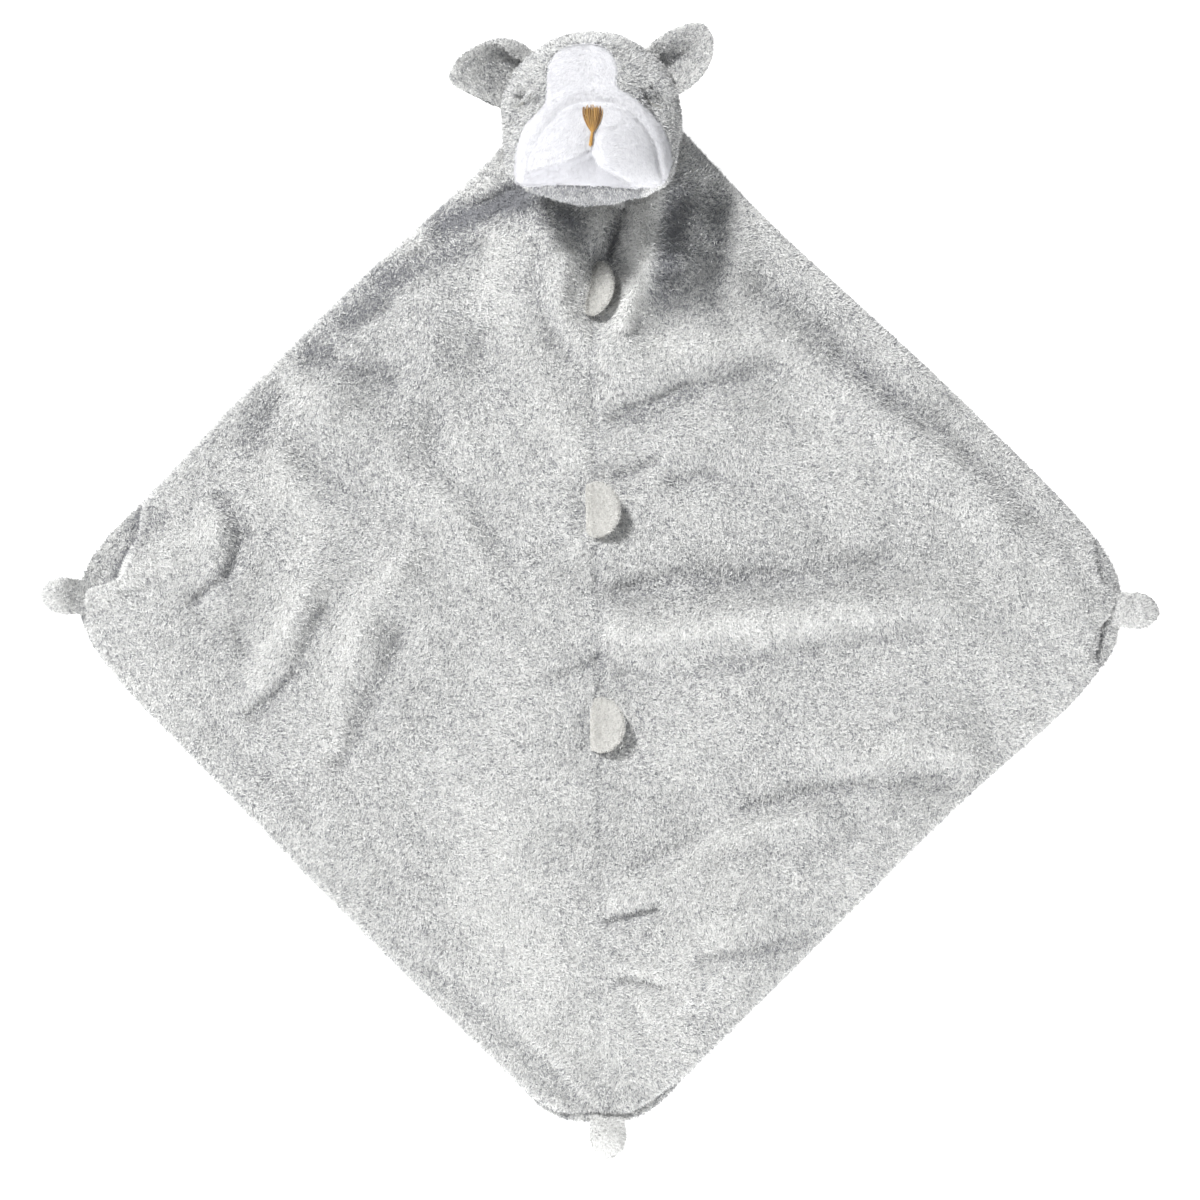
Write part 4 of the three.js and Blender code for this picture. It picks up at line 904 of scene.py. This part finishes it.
def faceSeams(points):
    # how far each place is from the face's seams, measured in the picture's plane
    x, y, z = points.T
    inWhite = insideOutline(x, y, outlines["white"]) & (z > head["bandFrom"])
    toWhite = towardsLine(x, y, outlines["white"], True)
    toMuzzle = towardsLine(x, y, outlines["muzzle"], True)
    ahead = z > head["bandFrom"] - 1
    whiteAway = np.where(ahead, np.hypot(*toWhite.T), 99.0)
    muzzleAway = np.where(ahead & inWhite, np.hypot(*toMuzzle.T), 99.0)
    return toWhite, toMuzzle, whiteAway, muzzleAway


def panelOf(points):
    x, y, z = points.T
    white = insideOutline(x, y, outlines["white"]) & (z > head["bandFrom"])
    muzzle = white & insideOutline(x, y, outlines["muzzle"])
    lip = muzzle & insideOutline(x, y, outlines["lip"])
    left, right, top = head["chin"]
    chin = ~white & (x > left) & (x < right) & (y < top)
    label = np.where(x < 0, "side_left", "side_right").astype("U12")
    label[chin] = "chin"
    label[white] = "blaze"
    label[muzzle] = "muzzle"
    label[lip] = "lip"
    label[z < head["backSeam"]] = "back"
    hx, hy, radius = head["hole"]
    label[(z < 0) & (np.hypot(x - hx, y - hy) < radius)] = "hole"
    return label


def dressedHead():
    ways, faces = ballMesh(6)
    points = headSurface(ways, head["loose"])
    whiteAway, muzzleAway = faceSeams(points)[2:]
    held = np.zeros(len(points))  # 1 is held fast and 0.5 half as fast
    facing = np.maximum(normalsOf(points, faces)[:, 2], 0.35)
    held[whiteAway / facing < 1.0] = 0.5
    held[(muzzleAway / facing < 1.3) & (points[:, 1] > -20)] = 1.0
    for line, height, spread in faceFolds:
        if height < -2:  # the deep tucks are sewn through
            near = np.hypot(*towardsLine(points[:, 0], points[:, 1], line).T) < spread
            held[near & (points[:, 2] > 0)] = 1.0
    held[points[:, 2] < -24] = 1.0
    puffed = puffUp(points, faces, held, head["swell"])

    rough = buildMesh("head_form", puffed, faces)
    smooth = rough.modifiers.new("smooth", "SUBSURF")
    smooth.levels = smooth.render_levels = 1
    graph = bpy.context.evaluated_depsgraph_get()
    fine = rough.evaluated_get(graph).to_mesh()
    points = pointsOf(fine).astype(float)
    faces = np.array([list(p.vertices) for p in fine.polygons])
    bpy.data.objects.remove(rough)

    # each vertex beside a seam moves onto it, so that the seam runs clean
    toWhite, toMuzzle, whiteAway, muzzleAway = faceSeams(points)
    for away, towards in ((whiteAway, toWhite), (muzzleAway, toMuzzle)):
        close = away < 0.36
        points[close, :2] += towards[close]
    normals = normalsOf(points, faces)
    x, y, z = points.T
    forward = np.maximum(normals[:, 2], 0.35)
    # the seams pull in, and outside the muzzle's own a soft roll stands round it
    pull, spread = head["whiteSeam"]
    lift = -pull * np.exp(-(whiteAway / forward / spread) ** 2)
    pull, spread = head["muzzleSeam"]
    lift -= pull * smoothStep((forward - 0.35) / 0.35) * np.exp(-(muzzleAway / forward / spread) ** 2)
    rise, out, spread = head["muzzleRoll"]
    roll = np.where(insideOutline(x, y, outlines["muzzle"]), 0.0, rise * smoothStep((forward - 0.4) / 0.4))
    lift += roll * np.exp(-((muzzleAway / forward - out) / spread) ** 2)
    facing = smoothStep(z / 10)
    for line, height, spread in faceFolds:
        away = np.hypot(*towardsLine(x, y, line).T) / np.maximum(forward, 0.6)
        lift += height * facing * np.exp(-(away / spread) ** 2)
    onWhite = insideOutline(x, y, outlines["white"]) & (z > 0)
    (large, seed, size), (small, nextSeed, smallSize) = head["lumps"]
    lumps = large * wavyField(x + 0.6 * z, y - 0.5 * z, seed, size)
    lumps += small * wavyField(x - z, y + z, nextSeed, smallSize)
    lift += lumps * np.where(onWhite, 0.3, 1.0)
    return points + normals * lift[:, None], faces


headPoints, headFaces = dressedHead()
headPlace = np.array(head["middle"])
headLabels = panelOf(headPoints[headFaces].mean(axis=1))
headNormals = normalsOf(headPoints, headFaces)

whiteRecipe = {"Length": 0.0016, "Width": 0.00042, "Rise": 0.2, "Clump": 1.2, "ClumpSize": 0.0018,
               "Tangle": 0.35, "Mottle": 0.7, "Fuzz": 0.16, "Tufts": 1.5e7, "Finish": whitePile}
headRecipe = dict(plushRecipe, Length=0.0019, Width=0.00056, Rise=0.36, Mottle=0.9, Tufts=1.0e7)

# painted shade darkens the lip's and the chin's yarn, painted light lightens the blaze's and the muzzle's a
# little, and the sides and back keep a slightly darker grey tone
panels = {  # the node that each stands for, its slot, backing and pile, and how its yarn is shaded
    "blaze": ("blaze_panel", "white_fleece", whiteBacking, whiteRecipe, 0.15),
    "muzzle": ("muzzle_panel", "white_fleece", whiteBacking, whiteRecipe, 0.15),
    "lip": ("lower_lip", "white_fleece", whiteBacking, whiteRecipe, -0.9),
    "chin": ("chin_panel", "grey_fleece", greyBacking, headRecipe, -0.5),
    "side_left": ("head_side_left", "grey_fleece", greyBacking, headRecipe, -0.1),
    "side_right": ("head_side_right", "grey_fleece", greyBacking, headRecipe, -0.1),
    "back": ("head_back", "grey_fleece", greyBacking, headRecipe, -0.1),
}


def headNap(points, label):
    # swept from the crown outwards and down, and sideways across the white
    x, y = points[:, :2].T
    drift = wavyField(x, y, 61, 26)
    if label in ("blaze", "muzzle", "lip"):
        return np.stack([0.5 * np.tanh(x / 14), -0.6 + 0.5 * drift, 0 * x], axis=1)
    return np.stack([x / 30 + 0.5 * drift, (y - 40) / 30 + 0.3 * drift, -0.4 + 0 * x], axis=1)


for seedAt, (label, (node, slot, backing, recipe, paintedLightShadeAndTone)) in enumerate(panels.items()):
    part, partFaces, used = partOf(headPoints, headFaces, headLabels == label)
    shell = thicken(buildMesh("plush_" + label, part + headPlace, partFaces, backing), head["wall"])
    flat = headNap(part, label)
    nap = unit(flat - np.sum(flat * headNormals[used], axis=1, keepdims=True) * headNormals[used])
    hidden = smoothStep((-part[:, 2] - 12) / 8)  # it lies on the cloth there
    # each panel's pile takes its painted light, painted shade or tone
    growPile("pile_" + label, part + headPlace, partFaces, dict(recipe, Seed=200 + 10 * seedAt), "head",
             nap, 1 - 0.75 * hidden, 1 - 0.5 * hidden, np.full(len(part), paintedLightShadeAndTone))
    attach(shell, "head")
    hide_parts(node)


def threadTree():
    # Embroidery: a thread along each line over the face
    tree = bpy.data.node_groups.new("embroideryThread", "GeometryNodeTree")
    for name, kind in (("Lines", "Geometry"), ("Radius", "Float"), ("Sides", "Int"), ("Finish", "Material")):
        tree.interface.new_socket(name, in_out="INPUT", socket_type="NodeSocket" + kind)
    tree.interface.new_socket("Threads", in_out="OUTPUT", socket_type="NodeSocketGeometry")
    given = addNode(tree, "NodeGroupInput").outputs
    path = addNode(tree, "GeometryNodeMeshToCurve", {"Mesh": given["Lines"]})
    ring = addNode(tree, "GeometryNodeCurvePrimitiveCircle",
                   {"Resolution": given["Sides"], "Radius": given["Radius"]})
    tube = addNode(tree, "GeometryNodeCurveToMesh",
                   {"Curve": path.outputs[0], "Profile Curve": ring.outputs[0], "Fill Caps": True})
    smooth = addNode(tree, "GeometryNodeSetShadeSmooth", {0: tube.outputs[0]})
    plain = addNode(tree, "GeometryNodeRealizeInstances", {0: smooth.outputs[0]})
    done = addNode(tree, "GeometryNodeSetMaterial",
                   {"Geometry": plain.outputs[0], "Material": given["Finish"]})
    addNode(tree, "NodeGroupOutput", {0: done.outputs[0]})
    return tree


embroideryThread = threadTree()
faceTree = BVHTree.FromPolygons(headPoints.tolist(), headFaces.tolist())


def onFace(x, y, above):
    hit = faceTree.ray_cast(Vector((x, y, 120)), Vector((0, 0, -1)))[0]
    return (x, y, hit.z + above)


def embroider(name, lines, radius, finish, node):
    points, edges, tints = [], [], []
    shades = np.random.default_rng(len(lines))
    for line in lines:
        edges += [(len(points) + k, len(points) + k + 1) for k in range(len(line) - 1)]
        points += line
        tints += [shades.uniform(-0.3, 0.75)] * len(line)
    source = bpy.data.meshes.new(name + "_lines")
    source.from_pydata(((np.array(points) + headPlace) * 0.001).tolist(), edges, [])
    setAttribute(source, "tint", "FLOAT", tints)
    obj = evaluated(name, source, embroideryThread, {"Radius": radius * 0.001, "Sides": 7, "Finish": finish})
    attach(obj, "head")
    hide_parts(node)


nose = {"foot": (0.5, -9.6), "halfWidth": 4.2, "top": 2.5, "droop": 1.0, "ragged": 0.9, "thread": 0.15,
        "stemTo": (-0.3, -15.3), "stemThread": 0.27, "eyeThread": 0.2,
        "eyes": {"left": ((-34.4, 3.4), (-26.3, 8.0)), "right": ((23.0, 7.4), (31.0, 3.0))}}


def noseThread(u, reach, above, steps=11):
    # from the foot, out to the side and up to the ragged top
    fx, fy = nose["foot"]
    top = (fx + nose["halfWidth"] * u, nose["top"] - nose["droop"] * u * u)
    out = (fx + 1.3 * nose["halfWidth"] * u, fy + 0.55 * (nose["top"] - fy))
    low = (fx + 0.45 * u, fy)
    line = []
    for t in np.linspace(0, reach, steps):
        x = (1 - t) ** 2 * low[0] + 2 * t * (1 - t) * out[0] + t * t * top[0]
        y = (1 - t) ** 2 * low[1] + 2 * t * (1 - t) * out[1] + t * t * top[1]
        crown = 0.75 * (1 - 0.7 * u * u) * math.sin(math.pi * min(t, 0.93) ** 0.8)
        line.append(onFace(x, y, above + crown))
    return line


draw = np.random.default_rng(5)
satin = []
for layer, count in ((0, 18), (1, 14), (2, 10)):
    for u in np.linspace(-0.97, 0.97, count):
        u = float(u * (1 - 0.12 * layer) + draw.uniform(-0.03, 0.03))
        reach = 1 + draw.uniform(-nose["ragged"], nose["ragged"] * 0.4) * 0.13 - 0.05 * layer
        satin.append(noseThread(u, reach, 0.35 + 0.3 * layer + draw.uniform(0, 0.12)))
embroider("nose_satin_threads", satin, nose["thread"], noseYarn, "nose_embroidery")
# a dark sheet under the satin threads: painted shade that shows in the gaps between them
shadeSheetRows = [noseThread(u, 0.93, -0.05, 14) for u in np.linspace(-0.96, 0.96, 15).tolist()]
noseShadeSheet = thicken(buildMesh("nose_underlay", np.array([p for row in zip(*shadeSheetRows) for p in row]) + headPlace,
                            gridFaces(15, 14), noseShade), 0.3)
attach(noseShadeSheet, "head")

stem = []
for k, side in enumerate((-0.42, 0.0, 0.42)):
    line = []
    for t in np.linspace(0, 1, 9):
        x = nose["foot"][0] + (nose["stemTo"][0] - nose["foot"][0]) * t + side * (0.8 + 0.5 * t)
        y = nose["foot"][1] + 0.4 + (nose["stemTo"][1] - nose["foot"][1] - 0.4) * t - 0.5 * (k == 1) * t
        line.append(onFace(x, y, 0.75 + 0.3 * math.sin(math.pi * t) + 0.15 * (k == 1)))
    stem.append(line)
embroider("mouth_threads", stem, nose["stemThread"], noseYarn, "mouth_stitch")

for name, ends in nose["eyes"].items():
    lines = []
    for aside in (-0.35, 0.1, 0.5):
        line = []
        for t in np.linspace(0, 1, 13):
            x = ends[0][0] + (ends[1][0] - ends[0][0]) * t
            y = ends[0][1] + (ends[1][1] - ends[0][1]) * t + aside - 0.9 * math.sin(math.pi * t)
            line.append(onFace(x, y, 0.55))
        lines.append(line)
    embroider("eye_threads_" + name, lines, nose["eyeThread"], eyeThread, "eye_stitch_" + name)
print("embroidery ready")

ways, faces = ballMesh(5)
stuffing = buildMesh("head_wadding", headSurface(ways, -head["fillInset"]) + headPlace, faces, wadding)
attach(stuffing, "head")
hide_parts("head_filling")
print("head ready")

joints = {joint["name"]: joint for joint in frame["joints"]}


def hingeFrame(name):
    # where a hinge is, the way along its bend line, and the way out from it
    joint = joints[name]
    axis = unit(np.array(joint["axis"], float))
    return np.array(joint["pos_m"]) * 1000, axis, np.cross([0, 0, 1], axis)


def intoWorld(points, place, axes):
    return np.asarray(points) @ np.array(axes) + place


def bendsAt(piece, parent, child, place, way, before, after):
    # only bakes the piece's place into its mesh: the bodies, the hinge's place and way, and the span before
    # and after it are not used
    way = unit(np.asarray(way, float))
    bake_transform(piece)


# Ears: two leaves of plush sewn together round the rim, curled up along both sides
ears = {
    "left": {"sweep": -8.5, "width": 14.0, "curlLow": 80, "curlHigh": 165, "sink": 6.5, "bend": 1.4,
             "rimBack": 0.0},
    "right": {"sweep": -3.4, "width": 12.8, "curlLow": 78, "curlHigh": 70, "sink": 6.0, "bend": 0.45,
              "rimBack": 0.7},
}
earForm = {"length": 25.5, "inside": 4.2, "hug": 2.6, "root": 0.9, "tip": 0.985, "layer": 1.4, "columns": 49,
           "rows": 45, "wall": 0.6, "hinge": (1.4, 3.5)}


def earMiddle(ear):
    # rows run out from the head; high is the rim at +X of the hinge, low the rim at -X
    columns, rows = earForm["columns"], earForm["rows"]
    across = np.linspace(-1, 1, columns)
    t = np.linspace(0, 1, rows) ** 0.85
    round_ = np.sqrt(1 - (earForm["tip"] * t) ** 3)
    width = ear["width"] * (earForm["root"] + (1 - earForm["root"]) * smoothStep(t * 3)) * round_
    fade = 1 - 0.72 * smoothStep((t - 0.25) / 0.75)
    grid = np.zeros((rows, columns, 3))
    for r in range(rows):
        curl = np.where(across > 0, ear["curlHigh"], ear["curlLow"]) * fade[r]
        outer = smoothStep((np.abs(across) - 0.6) / 0.3)
        lean = np.radians(curl) * np.sign(across) * np.abs(across) ** ear["bend"]
        lean *= 1 - ear["rimBack"] * outer
        step = np.diff(across, prepend=across[0])
        x = np.cumsum(np.cos(lean) * step)
        z = np.cumsum(np.sin(lean) * step)
        x -= x[columns // 2]
        z -= z[columns // 2]
        reach = (x.max() - x.min()) / 2
        middle = (x.max() + x.min()) / 2
        grid[r, :, 0] = (x - middle) / reach * width[r] + ear["sweep"] * t[r] ** 3
        root = -earForm["inside"] - earForm["hug"] * across ** 2
        grid[r, :, 1] = root + t[r] * (earForm["length"] - 2 - root)
        grid[r, :, 2] = z * width[r] * 0.95 - ear["sink"] * (1 - t[r] ** 1.5)
    return grid.reshape(-1, 3)


for seedAt, (side, ear) in enumerate(ears.items()):
    place, axis, outward = hingeFrame("ear_%s_flop" % side)
    axes = [axis, outward, (0, 0, 1)]
    columns, rows = earForm["columns"], earForm["rows"]
    middle = earMiddle(ear)
    faces = gridFaces(columns, rows)
    up = normalsOf(middle, faces)
    across = np.tile(np.linspace(-1, 1, columns), rows)
    a = np.abs(across)
    t = np.repeat(np.linspace(0, 1, rows) ** 0.85, columns)
    body = np.sqrt(np.maximum(1 - a ** 4, 0)) * np.sqrt(np.maximum(1 - t ** 8, 0))
    for layer, sign in (("front", 1), ("back", -1)):
        outside = middle + up * (sign * (0.15 + earForm["layer"] * body))[:, None]
        layerFaces = faces[:, ::-1] if sign < 0 else faces
        world = intoWorld(outside, place, axes)
        name = "ear_%s_%s" % (side, layer)
        leaf = thicken(buildMesh("plush_" + name, world, layerFaces, greyBacking), earForm["wall"])
        nap = along(world, layerFaces, np.tile(outward, (len(world), 1)) + 0.35 * np.outer(across, axis))
        edge = smoothStep((a - 0.86) / 0.1)
        # painted shade darkens the cup of the ear, where little light reaches
        paintedCupShade = np.exp(-(a / 0.6) ** 2) * (1 - smoothStep((t - 0.35) / 0.5)) * (sign > 0)
        recipe = dict(headRecipe, Length=0.0022, Rise=0.4, Clump=3.2, Mottle=1.6,
                      Seed=300 + 10 * seedAt + (sign > 0))
        pile = growPile("pile_" + name, world, layerFaces, recipe, None, nap, 1 + 1.2 * edge,
                        1 - 0.35 * edge, -0.18 * paintedCupShade)
        for piece in (leaf, pile):
            bendsAt(piece, "head", "ear_" + side, place, outward, *earForm["hinge"])
        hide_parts(name)
print("ears ready")


# Tabs: half-moon pads of cream velour, whose straight side runs down into the centre seam
tab = {"half": 12.0, "reach": 12.5, "thick": 2.1, "heel": 4.6, "rootThick": 0.9, "around": 40, "out": 22,
       "swell": 0.5, "hinge": (3.6, 0.6)}


def tabSurface():
    # rows go from the root out to the round edge over the top, and back underneath
    out, around = tab["out"], tab["around"]
    s = np.linspace(0, 1, out)
    angle = np.linspace(-math.pi / 2, math.pi / 2, around)
    points = []
    for sign in (1, -1):
        for share in (s if sign > 0 else s[::-1][1:]):
            edge = np.stack([tab["reach"] * np.cos(angle), tab["half"] * np.sin(angle)], axis=1)
            x = -tab["heel"] + share * (edge[:, 0] + tab["heel"])
            y = edge[:, 1] * (1 - 0.04 * (1 - share))
            fromRoot = smoothStep((x + tab["heel"]) / 7)
            ahead = np.clip(x, 0, None) / tab["reach"]
            shape = np.sqrt(np.maximum(1 - ahead ** 2 - (y / tab["half"]) ** 2, 0))
            thick = tab["rootThick"] + (tab["thick"] - tab["rootThick"]) * fromRoot
            z = sign * thick * np.minimum(1, 1.25 * shape)
            points.append(np.stack([x, y, z], axis=1))
    return np.concatenate(points), gridFaces(around, 2 * out - 1)[:, ::-1]


paleRecipe = {"Length": 0.0013, "Width": 0.0004, "Rise": 0.4, "Clump": 1.6, "ClumpSize": 0.0014,
              "Tangle": 0.9, "Mottle": 0.8, "Fuzz": 0.35, "Tufts": 1.8e7, "Finish": palePile}
tabs = {  # how far each leans up, its pile and its backing
    "top": (52, dict(paleRecipe, Mottle=1.4), greyBacking),
    "middle": (32, paleRecipe, paleBacking),
    "bottom": (32, paleRecipe, paleBacking),
}
for seedAt, (name, (leanAngle, recipe, backing)) in enumerate(tabs.items()):
    place, axis, outward = hingeFrame("tab_%s_flop" % name)
    lean = math.radians(leanAngle)
    reach = -outward * math.cos(lean) + np.array([0, 0, 1]) * math.sin(lean)
    axes = [reach, axis, np.cross(reach, axis)]
    points, faces = tabSurface()
    edge = np.abs(points[:, 2]) < 0.05
    held = np.where(edge | (points[:, 0] < -1), 1.0, 0.0)
    points = puffUp(points, faces, held, tab["swell"])
    world = intoWorld(points, place, axes)
    pad = buildMesh("plush_tab_" + name, world, faces, backing)
    nap = along(world, faces, np.tile(reach, (len(world), 1)) + 0.3 * np.outer(points[:, 1] / 12, axis))
    pile = growPile("pile_tab_" + name, world, faces, dict(recipe, Seed=340 + seedAt), None,
                    nap, np.where(points[:, 0] < -2, 0.3, 1.0))
    for piece in (pad, pile):
        bendsAt(piece, "blanket", "tab_" + name, place, reach, *tab["hinge"])
    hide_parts("tab_" + name)
print("tabs ready")


# Paws: stuffed knobs, gathered where they are sewn on the corners
paw = {"length": 16.8, "halfWidth": 8.7, "halfHeight": 5.9, "mouthWidth": 7.7, "mouthHeight": 1.5,
       "bend": 3.8, "seat": 2.75, "lifted": 6.1, "gathers": 11, "around": 48, "rings": 30, "tuck": 4.0,
       "coverInset": 0.5, "fillInset": 2.2, "fillFrom": 1.0, "swell": 1.0, "hinge": (3.2, 2.2),
       # painted light: each paw's pile is lightened, the bottom one most
       "shade": {"left": 0.02, "right": 0.05, "bottom": 0.4}}  # how bright the pile of each paw is


def pawSurface(shrink=0.0, seed=0):
    around, rings = paw["around"], paw["rings"]
    angle = np.linspace(0, 2 * math.pi, around, endpoint=False)
    shares = 1 - (1 - np.linspace(0, 0.9995, rings)) ** 1.25
    points = []
    for share in shares:
        round_ = math.sqrt(1 - share ** 3)
        bulge = float(smoothStep(share / 0.6))
        wide = (paw["mouthWidth"] + (paw["halfWidth"] - paw["mouthWidth"]) * bulge) * round_
        high = (paw["mouthHeight"] + (paw["halfHeight"] - paw["mouthHeight"]) * bulge) * round_
        pucker = 1 - 0.055 * math.exp(-(share / 0.22) ** 2) * (1 + np.cos(paw["gathers"] * angle + seed))
        centre = paw["seat"] + (paw["lifted"] - paw["seat"]) * float(smoothStep(share / 0.5))
        y = share * (paw["length"] - shrink) - paw["bend"] + 0.2 - paw["tuck"] * (1 - share) ** 3
        x = max(wide - shrink, 0.01) * pucker * np.cos(angle)
        z = centre - paw["seat"] + max(high - shrink, 0.01) * pucker * np.sin(angle)
        points.append(np.stack([x, y + 0 * angle, z], axis=1))
    return np.concatenate(points), gridFaces(around, rings, wrap=True)


for seedAt, name in enumerate(("left", "right", "bottom")):
    place, axis, outward = hingeFrame("paw_%s_fold" % name)
    axes = [axis, outward, (0, 0, 1)]
    points, faces = pawSurface(paw["coverInset"], seedAt)
    ends = [list(range(paw["around"]))[::-1], list(range(len(points) - paw["around"], len(points)))]
    held = np.where(points[:, 1] < paw["tuck"] - 2, 1.0, 0.0)
    faces = faces[:, ::-1] if normalsOf(points, faces)[paw["around"] * 12 + 12, 2] < 0 else faces
    world = intoWorld(puffUp(points, faces, held, paw["swell"]), place, axes)
    knob = buildMesh("plush_paw_" + name, world, [list(f) for f in faces] + ends, greyBacking)
    drift = 0.5 * wavyField(world[:, 0], world[:, 1], 71, 12)[:, None] * axis
    nap = along(world, faces, np.tile(outward, (len(world), 1)) + drift)
    # the paw's pile takes its painted light
    pile = growPile("pile_paw_" + name, world, faces, dict(headRecipe, Seed=360 + seedAt), None,
                    nap, shade=np.full(len(world), paw["shade"][name]))
    points, faces = pawSurface(paw["fillInset"], seedAt)
    core, coreFaces, used = partOf(points, faces, np.all((points[:, 1] > paw["fillFrom"])[faces], axis=1))
    ends = [list(range(paw["around"]))[::-1], list(range(len(core) - paw["around"], len(core)))]
    fill = buildMesh("wadding_paw_" + name, intoWorld(core, place, axes),
                     [list(f) for f in coreFaces] + ends, wadding)
    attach(fill, "paw_" + name)
    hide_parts("paw_%s_filling" % name)
    for piece in (knob, pile):
        bendsAt(piece, "blanket", "paw_" + name, place, outward, *paw["hinge"])
    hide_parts("paw_" + name)
print("paws ready")


# Neck: the cloth gathered up into the hole in the back of the head
neck = {"around": 96, "rings": 26, "pleats": 14,
        "path": [(0.0, 176.0, 4.5), (-0.5, 184.0, 6.2), (-2.6, 191.5, 9.0), (-3.8, 194.5, 14.0)],
        "wide": (17.5, 14.0, 9.0, 7.0), "high": (2.6, 5.4, 7.2, 6.6), "wall": 1.4,
        "hingePlace": (0, 184.0, 6.0), "hingeWay": (0, 0.8, 0.6), "hinge": (5.0, 7.0)}


def neckSurface():
    share = np.linspace(0, 3, neck["rings"])
    path = np.array(neck["path"])
    centre = np.stack([np.interp(share, range(4), path[:, k]) for k in range(3)], axis=1)
    wide = np.interp(share, range(4), neck["wide"])
    high = np.interp(share, range(4), neck["high"])
    angle = np.linspace(0, 2 * math.pi, neck["around"], endpoint=False)
    points = []
    for r in range(neck["rings"]):
        turn = math.radians(18 + 62 * smoothStep(share[r] / 3))
        pleat = 1 + 0.1 * np.cos(neck["pleats"] * angle + 0.8 * np.sin(3 * angle))
        across = wide[r] * np.cos(angle) * pleat
        rise = high[r] * np.sin(angle) * pleat
        points.append(np.stack([centre[r, 0] + across, centre[r, 1] - rise * math.sin(turn) * 0.6,
                                centre[r, 2] + rise * math.cos(turn * 0.6)], axis=1))
    return np.concatenate(points), gridFaces(neck["around"], neck["rings"], wrap=True)


points, faces = neckSurface()
if normalsOf(points, faces)[neck["around"] * 8 + neck["around"] // 4, 2] < 0:
    faces = faces[:, ::-1]
gather = thicken(buildMesh("plush_neck", points, faces, greyBacking), neck["wall"])
nap = along(points, faces, np.tile([0.0, -1.0, -0.2], (len(points), 1)))
pile = growPile("pile_neck", points, faces, dict(plushRecipe, Tufts=6e6, Seed=380), None, nap)
for piece in (gather, pile):
    bendsAt(piece, "blanket", "head", np.array(neck["hingePlace"]), neck["hingeWay"], *neck["hinge"])
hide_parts("neck_gather")
print("neck ready")

bpy.data.objects.remove(blade)
